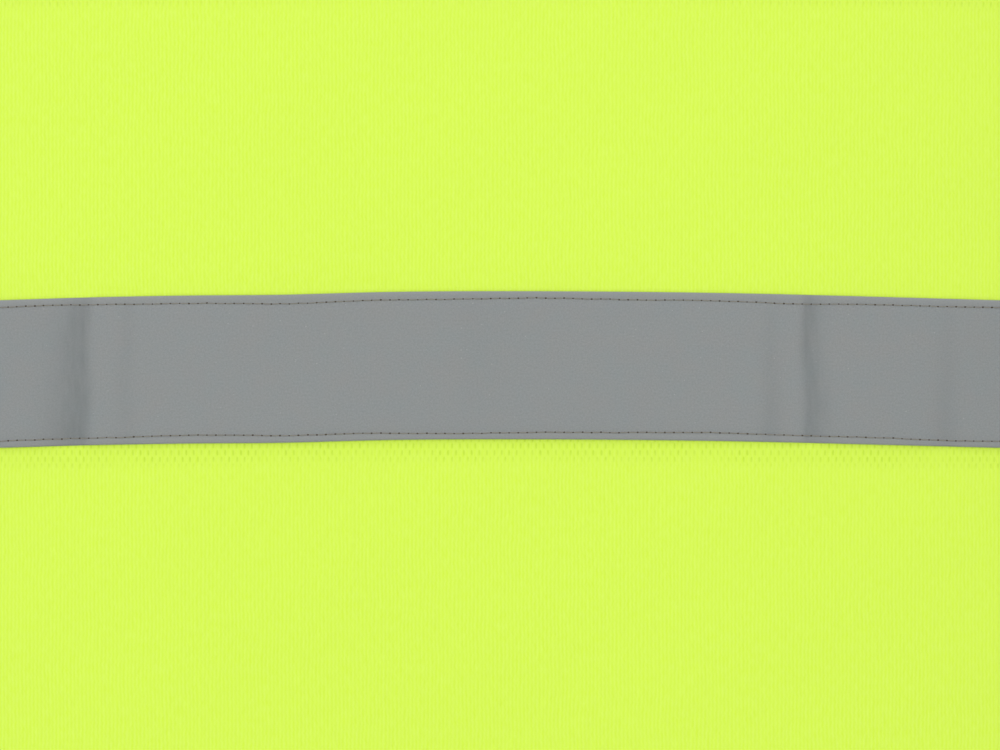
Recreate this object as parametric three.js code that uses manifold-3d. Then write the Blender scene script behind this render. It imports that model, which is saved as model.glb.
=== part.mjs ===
// A high-visibility vest: knitted polyester with sewn reflective tape, bound edges and an open-ended front zip.
// It hangs as it does on a torso, unzipped, with its two front edges side by side and the slider parked at the bottom.
// Millimetres, +Z up. The wearer faces -Y, so the wearer's left is +X. The origin lies midway between the two
// points where the shoulder seams meet the neck. The front opens by folding outwards about two straight fold
// lines, so each front is cut there into a side part, which stays, and an edge part, which swings.
import * as THREE from "three";
import { mergeVertices } from "three/addons/utils/BufferGeometryUtils.js";
import Module from "manifold-3d";

const wasm = await Module();
wasm.setup();

// Body of the vest.
const HALF_WIDTH = 245; // centre to side seam
const HALF_DEPTH = 110; // side seam to the flat of the back, and to the flat of the front
const SQUARENESS = 3.6; // exponent of the level section: 2 is an ellipse, more is a flatter back and front
const LENGTH = 680; // neck point to hem
const CHEST_DROP = 190; // below this level the vest hangs straight
const NECK_HALF_WIDTH = 75;
const SHOULDER_HALF_WIDTH = 188;
const SHOULDER_SLOPE = 0.38;
const SHOULDER_EASE = 30;
const BACK_NECK_DROP = 104; // along the cloth, at the middle of the back
const FRONT_NECK_DROP = 313; // along the cloth, to the bottom of the V
const FRONT_NECK_CURVE = 1.5; // 1 is a straight V, more is rounder
const ARMHOLE_DROP = 373; // along the cloth, from the shoulder line to the underarm
const ARMHOLE_CURVE = 2.6;
const ARMHOLE_SCOOP = 9; // how far the armhole curves in past the shoulder tip
const FRONT_EDGE = 10; // centre line to each front's folded edge

// Layers. Each piece keeps a clearance to what it is sewn to.
const FABRIC = 1;
const TAPE = 0.4;
const BINDING = 0.6;
const ZIP_TAPE = 0.6;
const CLEARANCE = 0.3;

// Reflective tape.
const TAPE_WIDTH = 50;
const BAND_LEVELS = { upper: -380, lower: -537 }; // height of each band's middle at the centre back
const BAND_ARCH = 5.25; // how much lower a band is at the side seams than at the centre back
const BRACE_CENTRE = 143; // centre line to the middle of each shoulder tape
const TAPE_TURN_IN = 1.5; // the front tapes stop this short of the front edge
const SHOULDER_TAPE_LIFT = 0.2; // over the curve of the shoulder

// Binding, folded over the raw edges.
const BINDING_WIDTH = 10;
const BINDING_CLEARANCE = 0.7;

// Front zip. Sizes across the chain are those of a size 5 moulded zip.
const ZIP_BELOW_NECK = 5;
const ZIP_ABOVE_HEM = 13;
const ZIP_TAPE_WIDTH = 14;
const TEETH_WIDTH = 3;
const TEETH_THICK = 2.6;
const TEETH_GAP = 8; // between the two rows of teeth, with the zip undone
const STOP_HEIGHT = 4;
const BOX_HEIGHT = 8;
const PIN_HEIGHT = 16;
const SLIDER_LENGTH = 10;
const SLIDER_PLATE = 0.9;
const FLANGE = 0.8;
const POST_WIDTH = 1.5;
const POST_LENGTH = 3;
const TAPE_SLIT = 1.2;
const CROWN_WIDTH = 1.8;
const CROWN_REACH = 3.2;
const CROWN_LENGTH = 7;
const CROWN_WALL = 0.8;
const PULL_WIDTH = 7;
const PULL_LENGTH = 24;
const PULL_THICK = 1.2;
const PULL_SLOT_WIDTH = 3;
const PULL_SLOT_LENGTH = 8.4;

// Pen pocket on the left front, with a flap.
const POCKET_WIDTH = 52;
const POCKET_HEIGHT = 96;
const POCKET_DEPTH = 9;
const POCKET_FROM_CENTRE = 21;
const POCKET_MOUTH = -254; // height of the mouth
const POCKET_CLOTH = 0.8;
const FLAP_RISE = 9; // from the mouth up to the flap's sewn edge
const FLAP_HANG = 34; // from the mouth down to the flap's free edge
const PAD_HEIGHT = 16; // hook and loop patches
const PAD_WIDTH = 30;
const PAD_THICK = 0.8;

// Labels and the loop at the back of the neck.
const LABEL_THICK = 0.4;
const LABEL_CLEARANCE = 0.7;
const NECK_LABEL = { width: 46, height: 30, below: 16 };
const CARE_LABEL = { width: 32, height: 50, level: -590, fromSeam: 3 };
const LOOP_HALF_WIDTH = 28;
const LOOP_DROP = 24;
const LOOP_STRAP = 6;
const LOOP_THICK = 1;
const LOOP_SEAT = 3; // from the neck edge in to where the loop is sewn

// Fold lines of the fronts, seen from the front.
const FOLD_TOP = { x: 42, z: -96 };
const FOLD_SLOPE = 0.234; // outwards for each millimetre down
const FOLD_CUT = 0.8; // width of the cut

// Facets.
const COLUMNS_TO_NECK = 5;
const COLUMNS_TO_SHOULDER = 9;
const FRONT_COLUMNS = 12;
const FLAT_FACET = 80; // a larger value leaves wider facets on the flat of the back and the front
const ROWS_TO_TURN = 12;
const ARMHOLE_TURN = 0.84; // share of the armhole's drop at which it starts to turn under the arm
const ROWS_TO_UNDERARM = 4;
const ROWS_TO_HEM = 3;
const BRACE_ROWS = 12;

// Derived sizes.
const CAP_RUN = (CHEST_DROP * Math.PI) / 2; // cloth coordinate of the chest level
const HEM = CAP_RUN + LENGTH - CHEST_DROP; // cloth coordinate of the hem
const TAPE_INNER = FABRIC / 2 + CLEARANCE;
const TAPE_OUTER = TAPE_INNER + TAPE;
const ZIP_PLANE = -HALF_DEPTH + FABRIC / 2 + CLEARANCE + ZIP_TAPE / 2; // middle of the zip's own tape
const ZIP_TOP = -CHEST_DROP - (FRONT_NECK_DROP - CAP_RUN) - ZIP_BELOW_NECK;
const ZIP_BOTTOM = -LENGTH + ZIP_ABOVE_HEM;

const materials = {
  fabric: new THREE.MeshStandardMaterial({ color: "#d9fb5b", roughness: 0.9, metalness: 0 }),
  tape: new THREE.MeshStandardMaterial({ color: "#8e9192", roughness: 0.55, metalness: 0.1 }),
  binding: new THREE.MeshStandardMaterial({ color: "#cdf04e", roughness: 0.8, metalness: 0 }),
  zipTape: new THREE.MeshStandardMaterial({ color: "#c6ea48", roughness: 0.85, metalness: 0 }),
  zipTeeth: new THREE.MeshStandardMaterial({ color: "#3b3e40", roughness: 0.45, metalness: 0 }),
  zipMetal: new THREE.MeshStandardMaterial({ color: "#a7a9ab", roughness: 0.3, metalness: 0.9 }),
  hookLoop: new THREE.MeshStandardMaterial({ color: "#c9ee4c", roughness: 0.95, metalness: 0 }),
  label: new THREE.MeshStandardMaterial({ color: "#f2f2ee", roughness: 0.7, metalness: 0 }),
};

const vest = new THREE.Group();

function add(name, geometry, material, x = 0, y = 0, z = 0) {
  const mesh = new THREE.Mesh(geometry, material);
  mesh.name = name;
  mesh.position.set(x, y, z);
  vest.add(mesh);
}

// ---- Solids -------------------------------------------------------------------------------------------------

function toSolid(geometry) {
  const bare = new THREE.BufferGeometry().setAttribute("position", geometry.getAttribute("position"));
  if (geometry.index) bare.setIndex(geometry.index);
  const merged = mergeVertices(bare, 1e-4);
  const vertProperties = merged.attributes.position.array;
  return new wasm.Manifold(new wasm.Mesh({ numProp: 3, vertProperties, triVerts: new Uint32Array(merged.index.array) }));
}

function toGeometry(solid) {
  const mesh = solid.getMesh();
  return new THREE.BufferGeometry()
    .setAttribute("position", new THREE.BufferAttribute(new Float32Array(mesh.vertProperties), 3))
    .setIndex(new THREE.BufferAttribute(new Uint32Array(mesh.triVerts), 1));
}

// A block between two corners, for cutting and joining.
function block([x0, y0, z0], [x1, y1, z1]) {
  const box = new THREE.BoxGeometry(x1 - x0, y1 - y0, z1 - z0);
  return toSolid(box.translate((x0 + x1) / 2, (y0 + y1) / 2, (z0 + z1) / 2));
}

// Closes a list of points and triangles into a geometry whose faces point out.
function closedGeometry(points, triangles) {
  let volume = 0;
  for (const [a, b, c] of triangles) volume += points[a].dot(points[b].clone().cross(points[c]));
  const order = volume < 0 ? triangles.map(([a, b, c]) => [a, c, b]) : triangles;
  const geometry = new THREE.BufferGeometry().setFromPoints(points);
  return geometry.setIndex(order.flat());
}

// ---- The cloth surface --------------------------------------------------------------------------------------

// A quarter of the level section, from the middle of the back to the side seam.
class Hoop extends THREE.Curve {
  getPoint(t) {
    const angle = (t * Math.PI) / 2;
    const x = HALF_WIDTH * Math.sin(angle) ** (2 / SQUARENESS);
    return new THREE.Vector3(x, HALF_DEPTH * Math.max(0, Math.cos(angle)) ** (2 / SQUARENESS), 0);
  }
}
const hoop = new Hoop();
hoop.arcLengthDivisions = 2000;
const SIDE = hoop.getLength(); // cloth coordinate of the side seam

// The shoulder falls away from the neck point outwards, and the fall begins gradually.
const slopeRun = (x) => (x - NECK_HALF_WIDTH + Math.hypot(x - NECK_HALF_WIDTH, SHOULDER_EASE)) / 2;

// The point of the cloth's middle surface at s, measured along the level section from the centre line, and g,
// measured down from the shoulder line: positive down the back and negative down the front.
function skin(s, g) {
  const along = Math.abs(s);
  const past = along > SIDE; // past the side seam the section runs on round the other face
  const level = hoop.getPointAt(Math.max(0, past ? 2 * SIDE - along : along) / SIDE);
  const shoulder = -SHOULDER_SLOPE * (slopeRun(level.x) - slopeRun(NECK_HALF_WIDTH));
  const angle = Math.min(Math.abs(g) / CAP_RUN, 1) * (Math.PI / 2);
  const depth = level.y * Math.sin(angle) * Math.sign(g) * (past ? -1 : 1);
  const z = -CHEST_DROP + (shoulder + CHEST_DROP) * Math.cos(angle) - Math.max(0, Math.abs(g) - CAP_RUN);
  return new THREE.Vector3(Math.sign(s) * level.x, depth, z);
}

function outward(s, g) {
  const step = 0.5;
  const across = skin(s + step, g).sub(skin(s - step, g));
  const along = skin(s, g + step).sub(skin(s, g - step));
  return across.cross(along).normalize();
}

function onSkin([s, g], height) {
  return skin(s, g).addScaledVector(outward(s, g), height);
}

// The cloth coordinate of a level below the chest.
const levelToCloth = (z) => CAP_RUN - CHEST_DROP - z;

// Cuts a four-cornered facet along its shorter diagonal, the same way whatever order its corners come in.
function splitQuad(points, a, b, c, d) {
  const shorter = points[a].distanceTo(points[c]) < points[b].distanceTo(points[d]);
  return shorter ? [[a, b, c], [a, c, d]] : [[a, b, d], [b, c, d]];
}

// A closed sheet over rows of cloth points, from the inner to the outer height above the middle surface.
function sheet(rows, inner, outer) {
  const width = rows[0].length;
  const stations = rows.flat();
  const points = [...stations.map((p) => onSkin(p, outer)), ...stations.map((p) => onSkin(p, inner))];
  const under = stations.length;
  const triangles = [];
  const quad = (a, b, c, d) => triangles.push(...splitQuad(points, a, b, c, d));
  for (let j = 0; j + 1 < rows.length; j++) {
    for (let i = 0; i + 1 < width; i++) {
      const a = j * width + i;
      quad(a, a + 1, a + width + 1, a + width);
      quad(under + a, under + a + width, under + a + width + 1, under + a + 1);
    }
  }
  const last = (rows.length - 1) * width;
  for (let i = 0; i + 1 < width; i++) {
    quad(i, under + i, under + i + 1, i + 1);
    quad(last + i, last + i + 1, under + last + i + 1, under + last + i);
  }
  for (let j = 0; j + 1 < rows.length; j++) {
    const [a, b] = [j * width, j * width + width - 1];
    quad(a, a + width, under + a + width, under + a);
    quad(b, under + b, under + b + width, b + width);
  }
  return closedGeometry(points, triangles);
}

// The cloth coordinates a distance away from a point, in a direction that lies in the cloth.
function step([s, g], direction, distance) {
  const across = skin(s + 0.5, g).sub(skin(s - 0.5, g));
  const along = skin(s, g + 0.5).sub(skin(s, g - 0.5));
  const [aa, ab, bb] = [across.dot(across), across.dot(along), along.dot(along)];
  const [da, db] = [direction.dot(across) * distance, direction.dot(along) * distance];
  const scale = 1 / (aa * bb - ab * ab);
  return [s + (bb * da - ab * db) * scale, g + (aa * db - ab * da) * scale];
}

// A section of [inwards, outwards] points carried along an edge of the cloth, with inner the points one binding
// width in from it.
function edging(edge, inner, section, closed = false) {
  const n = edge.length;
  const points = [];
  for (let i = 0; i < n; i++) {
    for (const [a, b] of section) {
      const across = [0, 1].map((k) => THREE.MathUtils.lerp(edge[i][k], inner[i][k], a / BINDING_WIDTH));
      points.push(onSkin(across, b));
    }
  }
  const m = section.length;
  const triangles = [];
  for (let i = 0; i < (closed ? n : n - 1); i++) {
    for (let k = 0; k < m; k++) {
      const [a, b] = [i * m + k, i * m + ((k + 1) % m)];
      const [c, d] = [((i + 1) % n) * m + k, ((i + 1) % n) * m + ((k + 1) % m)];
      triangles.push(...splitQuad(points, a, b, d, c));
    }
  }
  if (!closed) {
    const cap = THREE.ShapeUtils.triangulateShape(section.map(([a, b]) => new THREE.Vector2(a, b)), []);
    const counterclockwise = THREE.ShapeUtils.area(section.map(([a, b]) => new THREE.Vector2(a, b))) > 0;
    const last = (n - 1) * m;
    for (const [a, b, c] of cap) {
      triangles.push(counterclockwise ? [a, c, b] : [a, b, c]);
      triangles.push(counterclockwise ? [last + a, last + b, last + c] : [last + a, last + c, last + b]);
    }
  }
  return closedGeometry(points, triangles);
}

// ---- Edges of the cut pieces, in cloth coordinates ----------------------------------------------------------

const clothAcross = (x) => {
  let [low, high] = [0, SIDE];
  for (let i = 0; i < 40; i++) {
    const middle = (low + high) / 2;
    if (hoop.getPointAt(middle / SIDE).x < x) low = middle;
    else high = middle;
  }
  return low;
};
const NECK_POINT = clothAcross(NECK_HALF_WIDTH);
const SHOULDER_TIP = clothAcross(SHOULDER_HALF_WIDTH);

// How far out the cloth reaches at each distance down from the shoulder line.
function armhole(g) {
  if (g >= ARMHOLE_DROP) return SIDE;
  const share = g / ARMHOLE_DROP;
  const round = (1 - share ** ARMHOLE_CURVE) ** (1 / ARMHOLE_CURVE);
  return SIDE - (SIDE - SHOULDER_TIP) * round - ARMHOLE_SCOOP * Math.sin(Math.PI * Math.min(1, share * 1.3)) ** 2;
}

function frontNeck(g) {
  const share = Math.min(1, g / FRONT_NECK_DROP);
  return FRONT_EDGE + (NECK_POINT - FRONT_EDGE) * (1 - share ** FRONT_NECK_CURVE);
}

// Distances down at which the panels' facets meet: a first strip as wide as the binding, then even ones, then
// narrower ones where the armhole turns. The one nearest to the bottom of the V is moved to it.
function panelLevels() {
  const turn = ARMHOLE_TURN * ARMHOLE_DROP;
  const even = Array.from({ length: ROWS_TO_TURN }, (_, j) => THREE.MathUtils.lerp(BINDING_WIDTH, turn, j / (ROWS_TO_TURN - 1)));
  const closer = Array.from({ length: ROWS_TO_UNDERARM - 1 }, (_, j) => {
    const left = 1 - (j + 1) / ROWS_TO_UNDERARM;
    return ARMHOLE_DROP - (ARMHOLE_DROP - turn) * left ** 2;
  });
  const below = Array.from({ length: ROWS_TO_HEM - 1 }, (_, j) => THREE.MathUtils.lerp(ARMHOLE_DROP, HEM, (j + 1) / ROWS_TO_HEM));
  const free = [...even, ...closer, ...below];
  const fromV = (g) => Math.abs(g - FRONT_NECK_DROP);
  const nearest = free.reduce((best, g) => (fromV(g) < fromV(best) ? g : best));
  const tooNear = FRONT_NECK_DROP >= ARMHOLE_DROP && FRONT_NECK_DROP < ARMHOLE_DROP + 4 * BINDING_WIDTH;
  free[free.indexOf(nearest)] = tooNear ? ARMHOLE_DROP + 4 * BINDING_WIDTH : FRONT_NECK_DROP;
  return [0, ...free, ARMHOLE_DROP, HEM].sort((a, b) => a - b);
}
const rowLevels = panelLevels();

// Splits a stretch of the level section into facets, closer together where it bends more.
function facets(count, from, to) {
  const samples = 400;
  const at = (k) => from + ((to - from) * k) / samples;
  const bend = [0];
  for (let k = 0; k < samples; k++) {
    const [a, b] = [at(k), at(k + 1)].map((s) => hoop.getTangentAt(THREE.MathUtils.clamp(s / SIDE, 0.002, 0.998)));
    bend.push(bend[k] + Math.sqrt(a.angleTo(b) * (b === a ? 0 : (to - from) / samples)) + (to - from) / samples / FLAT_FACET);
  }
  const total = bend[samples];
  return Array.from({ length: count + 1 }, (_, i) => {
    const k = bend.findIndex((v) => v >= (total * i) / count - 1e-9);
    return at(k);
  });
}

// Columns of the back, as shares of its half width, with one through each neck point.
const neckShare = NECK_POINT / SHOULDER_TIP;
const besideNeckPoint = neckShare * Math.sqrt(1 - (BINDING_WIDTH / BACK_NECK_DROP) ** 2);
const halfColumns = [
  ...Array.from({ length: COLUMNS_TO_NECK }, (_, i) => neckShare * Math.sin((Math.PI / 2) * (i / COLUMNS_TO_NECK))),
  besideNeckPoint,
  ...facets(COLUMNS_TO_SHOULDER, neckShare * SIDE, SIDE).map((s) => s / SIDE),
];
const backColumns = [...halfColumns.slice(1).reverse().map((f) => -f), ...halfColumns];
const frontShares = facets(FRONT_COLUMNS, FRONT_EDGE, SIDE).map((s) => (s - FRONT_EDGE) / (SIDE - FRONT_EDGE));
const SEAM = CLEARANCE / 2; // each panel stops this short of a seam
const bySeam = (s) => THREE.MathUtils.clamp(s, -SIDE + SEAM, SIDE - SEAM);

function backNeck(share) {
  const across = Math.min(1, Math.abs(share) / neckShare);
  return BACK_NECK_DROP * Math.sqrt(1 - across ** 2);
}

// The points one binding width in from an edge of the cloth, on the given side of it.
function inset(edge, side) {
  const place = edge.map((p) => skin(...p));
  return edge.map((p, i) => {
    const run = place[Math.min(edge.length - 1, i + 1)].clone().sub(place[Math.max(0, i - 1)]);
    const inwards = outward(...p).cross(run).normalize().multiplyScalar(side);
    return step(p, inwards, BINDING_WIDTH);
  });
}

// The wearer's left edge of a panel from the shoulder to the hem, and the line inside it.
const sideEdge = rowLevels.map((g) => [bySeam(armhole(g)), g]);
const armholeRows = rowLevels.filter((g) => g <= ARMHOLE_DROP).length;
const sideInset = [
  [SHOULDER_TIP - BINDING_WIDTH, 0],
  ...inset(sideEdge.slice(0, armholeRows), 1).slice(1, -1),
  [SIDE - BINDING_WIDTH, ARMHOLE_DROP + 0.8 * BINDING_WIDTH],
  ...rowLevels.slice(armholeRows).map((g) => [SIDE - BINDING_WIDTH, g]),
];

// Fills a patch of cloth between the line along its top and the lines down its two sides.
function fill(top, bottom, first, last) {
  const ends = [bottom[0][0], bottom[bottom.length - 1][0]];
  const drops = rowLevels.slice(1).map((g) => (g - BINDING_WIDTH) / (HEM - BINDING_WIDTH));
  return drops.map((v, j) =>
    top.map((_, i) => {
      const u = (bottom[i][0] - ends[0]) / (ends[1] - ends[0]);
      return [0, 1].map((k) => {
        const across = (1 - v) * top[i][k] + v * bottom[i][k];
        const down = (1 - u) * first[j][k] + u * last[j][k];
        const above = (1 - u) * top[0][k] + u * top[top.length - 1][k];
        const below = (1 - u) * bottom[0][k] + u * bottom[top.length - 1][k];
        return across + down - (1 - v) * above - v * below;
      });
    }),
  );
}

// The back, with its neckline and shoulders along the top.
const shoulderAt = (share) => THREE.MathUtils.lerp(NECK_POINT, SHOULDER_TIP, (share - neckShare) / (1 - neckShare));
const isNeck = (share) => Math.abs(share) < neckShare - 1e-6;
const isNeckPoint = (share) => Math.abs(Math.abs(share) - neckShare) < 1e-6;
const backTop = backColumns.map((share) => {
  if (isNeck(share)) return [share * SHOULDER_TIP, backNeck(share)];
  return [Math.sign(share) * shoulderAt(Math.abs(share)), 0];
});
const backTopInset = inset(backTop, 1).map((p, i) => {
  const share = backColumns[i];
  if (isNeck(share)) return p;
  const corner = isNeckPoint(share) ? 1.1 * BINDING_WIDTH : 0;
  return [backTop[i][0] + Math.sign(share) * corner, BINDING_WIDTH];
});
const mirrored = (line) => line.map(([s, g]) => [-s, g]);

function backRows() {
  const inner = backColumns.slice(1, -1).map((share) => [share * SIDE, HEM]);
  const bottom = [[BINDING_WIDTH - SIDE, HEM], ...inner, [SIDE - BINDING_WIDTH, HEM]];
  const top = [mirrored(sideInset)[1], ...backTopInset.slice(1, -1), sideInset[1]];
  const middle = fill(top, bottom, mirrored(sideInset).slice(1), sideInset.slice(1));
  const first = [[SHOULDER_TIP - BINDING_WIDTH, SEAM]];
  const shoulders = backTop.slice(1, -1).map(([s, g]) => [s, Math.max(SEAM, g)]);
  const rows = [[...mirrored(first), ...shoulders, ...first], ...middle];
  return rows.map((row, j) => [[-sideEdge[j][0], Math.max(SEAM, rowLevels[j])], ...row, [sideEdge[j][0], Math.max(SEAM, rowLevels[j])]]);
}

// A front, from its neckline and front edge out to the armhole and the side seam. It is drawn with g positive.
const frontEdge = rowLevels.map((g) => [frontNeck(g), g]);
const neckRows = rowLevels.filter((g) => g <= FRONT_NECK_DROP + 1e-6).length;
const frontInset = [
  [NECK_POINT + BINDING_WIDTH, 0],
  ...inset(frontEdge.slice(0, neckRows), -1).slice(1),
  ...rowLevels.slice(neckRows).map((g) => [FRONT_EDGE + BINDING_WIDTH, g]),
];

function frontRows(mirror) {
  const shares = frontShares.slice(1, -1);
  const shoulder = shares.map((share) => THREE.MathUtils.lerp(frontInset[0][0], sideInset[0][0], share));
  const hem = shares.map((share) => THREE.MathUtils.lerp(FRONT_EDGE, SIDE, share));
  const top = [frontInset[1], ...shoulder.map((s) => [s, BINDING_WIDTH]), sideInset[1]];
  const bottom = [[FRONT_EDGE + BINDING_WIDTH, HEM], ...hem.map((s) => [s, HEM]), [SIDE - BINDING_WIDTH, HEM]];
  const middle = fill(top, bottom, frontInset.slice(1), sideInset.slice(1));
  const rows = [[frontInset[0], ...shoulder.map((s) => [s, 0]), sideInset[0]], ...middle];
  return rows.map((row, j) =>
    [frontEdge[j], ...row, sideEdge[j]].map(([s, g]) => [mirror * s, -Math.max(SEAM, g)]),
  );
}

// ---- Cutting at the fold lines ------------------------------------------------------------------------------

const foldX = (z, widen) => FOLD_TOP.x + FOLD_SLOPE * (FOLD_TOP.z - z) + widen;

// Everything between the centre line and the fold line, at the front of the vest.
function edgeZone(mirror, widen) {
  const [top, bottom] = [20, -LENGTH - 20];
  const outline = new THREE.Shape([
    new THREE.Vector2(0, top),
    new THREE.Vector2(0, bottom),
    new THREE.Vector2(mirror * foldX(bottom, widen), bottom),
    new THREE.Vector2(mirror * foldX(top, widen), top),
  ]);
  const prism = new THREE.ExtrudeGeometry(outline, { depth: 2 * HALF_DEPTH, bevelEnabled: false });
  return toSolid(prism.rotateX(Math.PI / 2));
}
const zones = { left: edgeZone(1, -FOLD_CUT / 2), right: edgeZone(-1, -FOLD_CUT / 2) };
const cuts = { left: edgeZone(1, FOLD_CUT / 2), right: edgeZone(-1, FOLD_CUT / 2) };

function addCutAtFold(hand, sideName, edgeName, geometry, material) {
  const whole = toSolid(geometry);
  add(sideName, toGeometry(whole.subtract(cuts[hand])), material);
  add(edgeName, toGeometry(whole.intersect(zones[hand])), material);
}

// ---- Panels -------------------------------------------------------------------------------------------------

const hands = { left: 1, right: -1 };

add("back_panel", sheet(backRows(), -FABRIC / 2, FABRIC / 2), materials.fabric);
for (const [hand, mirror] of Object.entries(hands)) {
  const front = sheet(frontRows(mirror), -FABRIC / 2, FABRIC / 2);
  addCutAtFold(hand, `${hand}_front_side`, `${hand}_front_edge`, front, materials.fabric);
}

// ---- Reflective tape ----------------------------------------------------------------------------------------

const bandDrop = (s) => (BAND_ARCH * (1 - Math.cos((Math.PI * s) / SIDE))) / 2;

function bandRows(columns, level, direction, drop) {
  return [TAPE_WIDTH / 2, -TAPE_WIDTH / 2].map((half) =>
    columns.map((s) => [s, direction * levelToCloth(level - drop(s) + half)]),
  );
}

const backBandColumns = backRows()[rowLevels.length - 1].map(([s]) => s);
const frontBandColumns = (mirror) =>
  frontRows(mirror)[rowLevels.length - 1].map(([s]) => mirror * Math.max(Math.abs(s), FRONT_EDGE + TAPE_TURN_IN));

for (const [name, level] of Object.entries(BAND_LEVELS)) {
  const back = sheet(bandRows(backBandColumns, level, 1, bandDrop), TAPE_INNER, TAPE_OUTER);
  add(`back_${name}_tape`, back, materials.tape);
  for (const [hand, mirror] of Object.entries(hands)) {
    const rows = bandRows(frontBandColumns(mirror), level, -1, () => BAND_ARCH);
    const front = sheet(rows, TAPE_INNER, TAPE_OUTER);
    addCutAtFold(hand, `${hand}_${name}_tape_side`, `${hand}_${name}_tape_edge`, front, materials.tape);
  }
}

// Each shoulder tape runs from the back upper band over the shoulder to the front upper band.
const shoulderTapeLevel = (drop) => levelToCloth(BAND_LEVELS.upper - drop + TAPE_WIDTH / 2) - 1;
const backEnd = shoulderTapeLevel(bandDrop(BRACE_CENTRE));
const frontEnd = shoulderTapeLevel(BAND_ARCH);
const braceLevels = [
  ...rowLevels.filter((g) => g < FRONT_NECK_DROP).reverse().map((g) => -g),
  ...rowLevels.filter((g) => g > 0 && g < FRONT_NECK_DROP),
];
for (const [hand, mirror] of Object.entries(hands)) {
  const rows = [-frontEnd, ...braceLevels, backEnd].map((g) =>
    [-0.5, -0.25, 0, 0.25, 0.5].map((across) => [mirror * (BRACE_CENTRE + across * TAPE_WIDTH), g]),
  );
  const heights = [TAPE_INNER + SHOULDER_TAPE_LIFT, TAPE_OUTER + SHOULDER_TAPE_LIFT];
  add(`${hand}_shoulder_tape`, sheet(rows, ...heights), materials.tape);
}

// ---- Binding ------------------------------------------------------------------------------------------------

const bindingInside = FABRIC / 2 + BINDING_CLEARANCE;
const bindingOutside = bindingInside + BINDING;
const bindingSection = [
  [BINDING_WIDTH, bindingOutside],
  [BINDING_WIDTH, bindingInside],
  [-CLEARANCE, bindingInside],
  [-CLEARANCE, -bindingInside],
  [BINDING_WIDTH, -bindingInside],
  [BINDING_WIDTH, -bindingOutside],
  [-CLEARANCE - BINDING, -bindingOutside],
  [-CLEARANCE - BINDING, bindingOutside],
];

// Splits a binding that runs round the vest into the part that stays and one part on each front edge.
function addBinding(name, geometry) {
  const whole = toSolid(geometry);
  add(name, toGeometry(whole.subtract(cuts.left).subtract(cuts.right)), materials.binding);
  for (const hand of Object.keys(hands)) {
    add(`${hand}_${name}_edge`, toGeometry(whole.intersect(zones[hand])), materials.binding);
  }
}

// The same stretch of edge down the back and down the front, joined at the shoulder.
const towards = (mirror, direction) => ([s, g]) => [mirror * s, direction * g];

const armholeEdge = rowLevels.slice(0, armholeRows).map((g) => [armhole(g), g]);
const armholeInner = [...sideInset.slice(0, armholeRows - 1), [SIDE, ARMHOLE_DROP + BINDING_WIDTH]];
for (const [hand, mirror] of Object.entries(hands)) {
  const round = (line) => [
    ...line.map(towards(mirror, 1)).reverse(),
    ...line.slice(1, -1).map(towards(mirror, -1)),
  ];
  const binding = edging(round(armholeEdge), round(armholeInner), bindingSection, true);
  add(`${hand}_armhole_binding`, binding, materials.binding);
}

const atNeck = (line) => line.filter((_, i) => isNeck(backColumns[i]));
const alongNeck = (back, front) => [
  ...front.slice(0, neckRows).map(towards(-1, -1)).reverse(),
  ...atNeck(back),
  ...front.slice(0, neckRows).map(towards(1, -1)),
];
const neckEdge = alongNeck(backTop, frontEdge);
addBinding("neck_binding", edging(neckEdge, alongNeck(backTopInset, frontInset), bindingSection));

const hemEdge = [
  ...frontBandColumns(-1).slice(0, -1).map((s) => [s, -HEM]),
  ...backBandColumns.map((s) => [s, HEM]),
  ...frontBandColumns(1).slice(0, -1).reverse().map((s) => [s, -HEM]),
];
const hemInner = hemEdge.map(([s, g]) => [s, g - Math.sign(g) * BINDING_WIDTH]);
addBinding("hem_binding", edging(hemEdge, hemInner, bindingSection));

// ---- Zip ----------------------------------------------------------------------------------------------------

const teethInner = TEETH_GAP / 2;
const teethOuter = teethInner + TEETH_WIDTH;
const teethTop = ZIP_TOP - STOP_HEIGHT - CLEARANCE - 1;
const boxTop = ZIP_BOTTOM + BOX_HEIGHT;
const teethBottom = { left: boxTop + CLEARANCE, right: boxTop + PIN_HEIGHT };

function bar(name, mirror, [x0, x1], thick, [z0, z1], material) {
  const geometry = new THREE.BoxGeometry(x1 - x0, thick, z1 - z0);
  add(name, geometry, material, (mirror * (x0 + x1)) / 2, ZIP_PLANE, (z0 + z1) / 2);
}

for (const [hand, mirror] of Object.entries(hands)) {
  const tapeX = [teethOuter + CLEARANCE, teethOuter + CLEARANCE + ZIP_TAPE_WIDTH];
  bar(`${hand}_zip_tape`, mirror, tapeX, ZIP_TAPE, [ZIP_BOTTOM, ZIP_TOP], materials.zipTape);
  const teethX = [teethInner, teethOuter];
  bar(`${hand}_zip_teeth`, mirror, teethX, TEETH_THICK, [teethBottom[hand], teethTop], materials.zipTeeth);
  const stopZ = [teethTop + CLEARANCE, teethTop + CLEARANCE + STOP_HEIGHT];
  bar(`${hand}_top_stop`, mirror, teethX, TEETH_THICK, stopZ, materials.zipTeeth);
}
const pinZ = [ZIP_BOTTOM, teethBottom.right - CLEARANCE];
bar("insertion_pin", -1, [teethInner, teethOuter], TEETH_THICK, pinZ, materials.zipTeeth);

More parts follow.
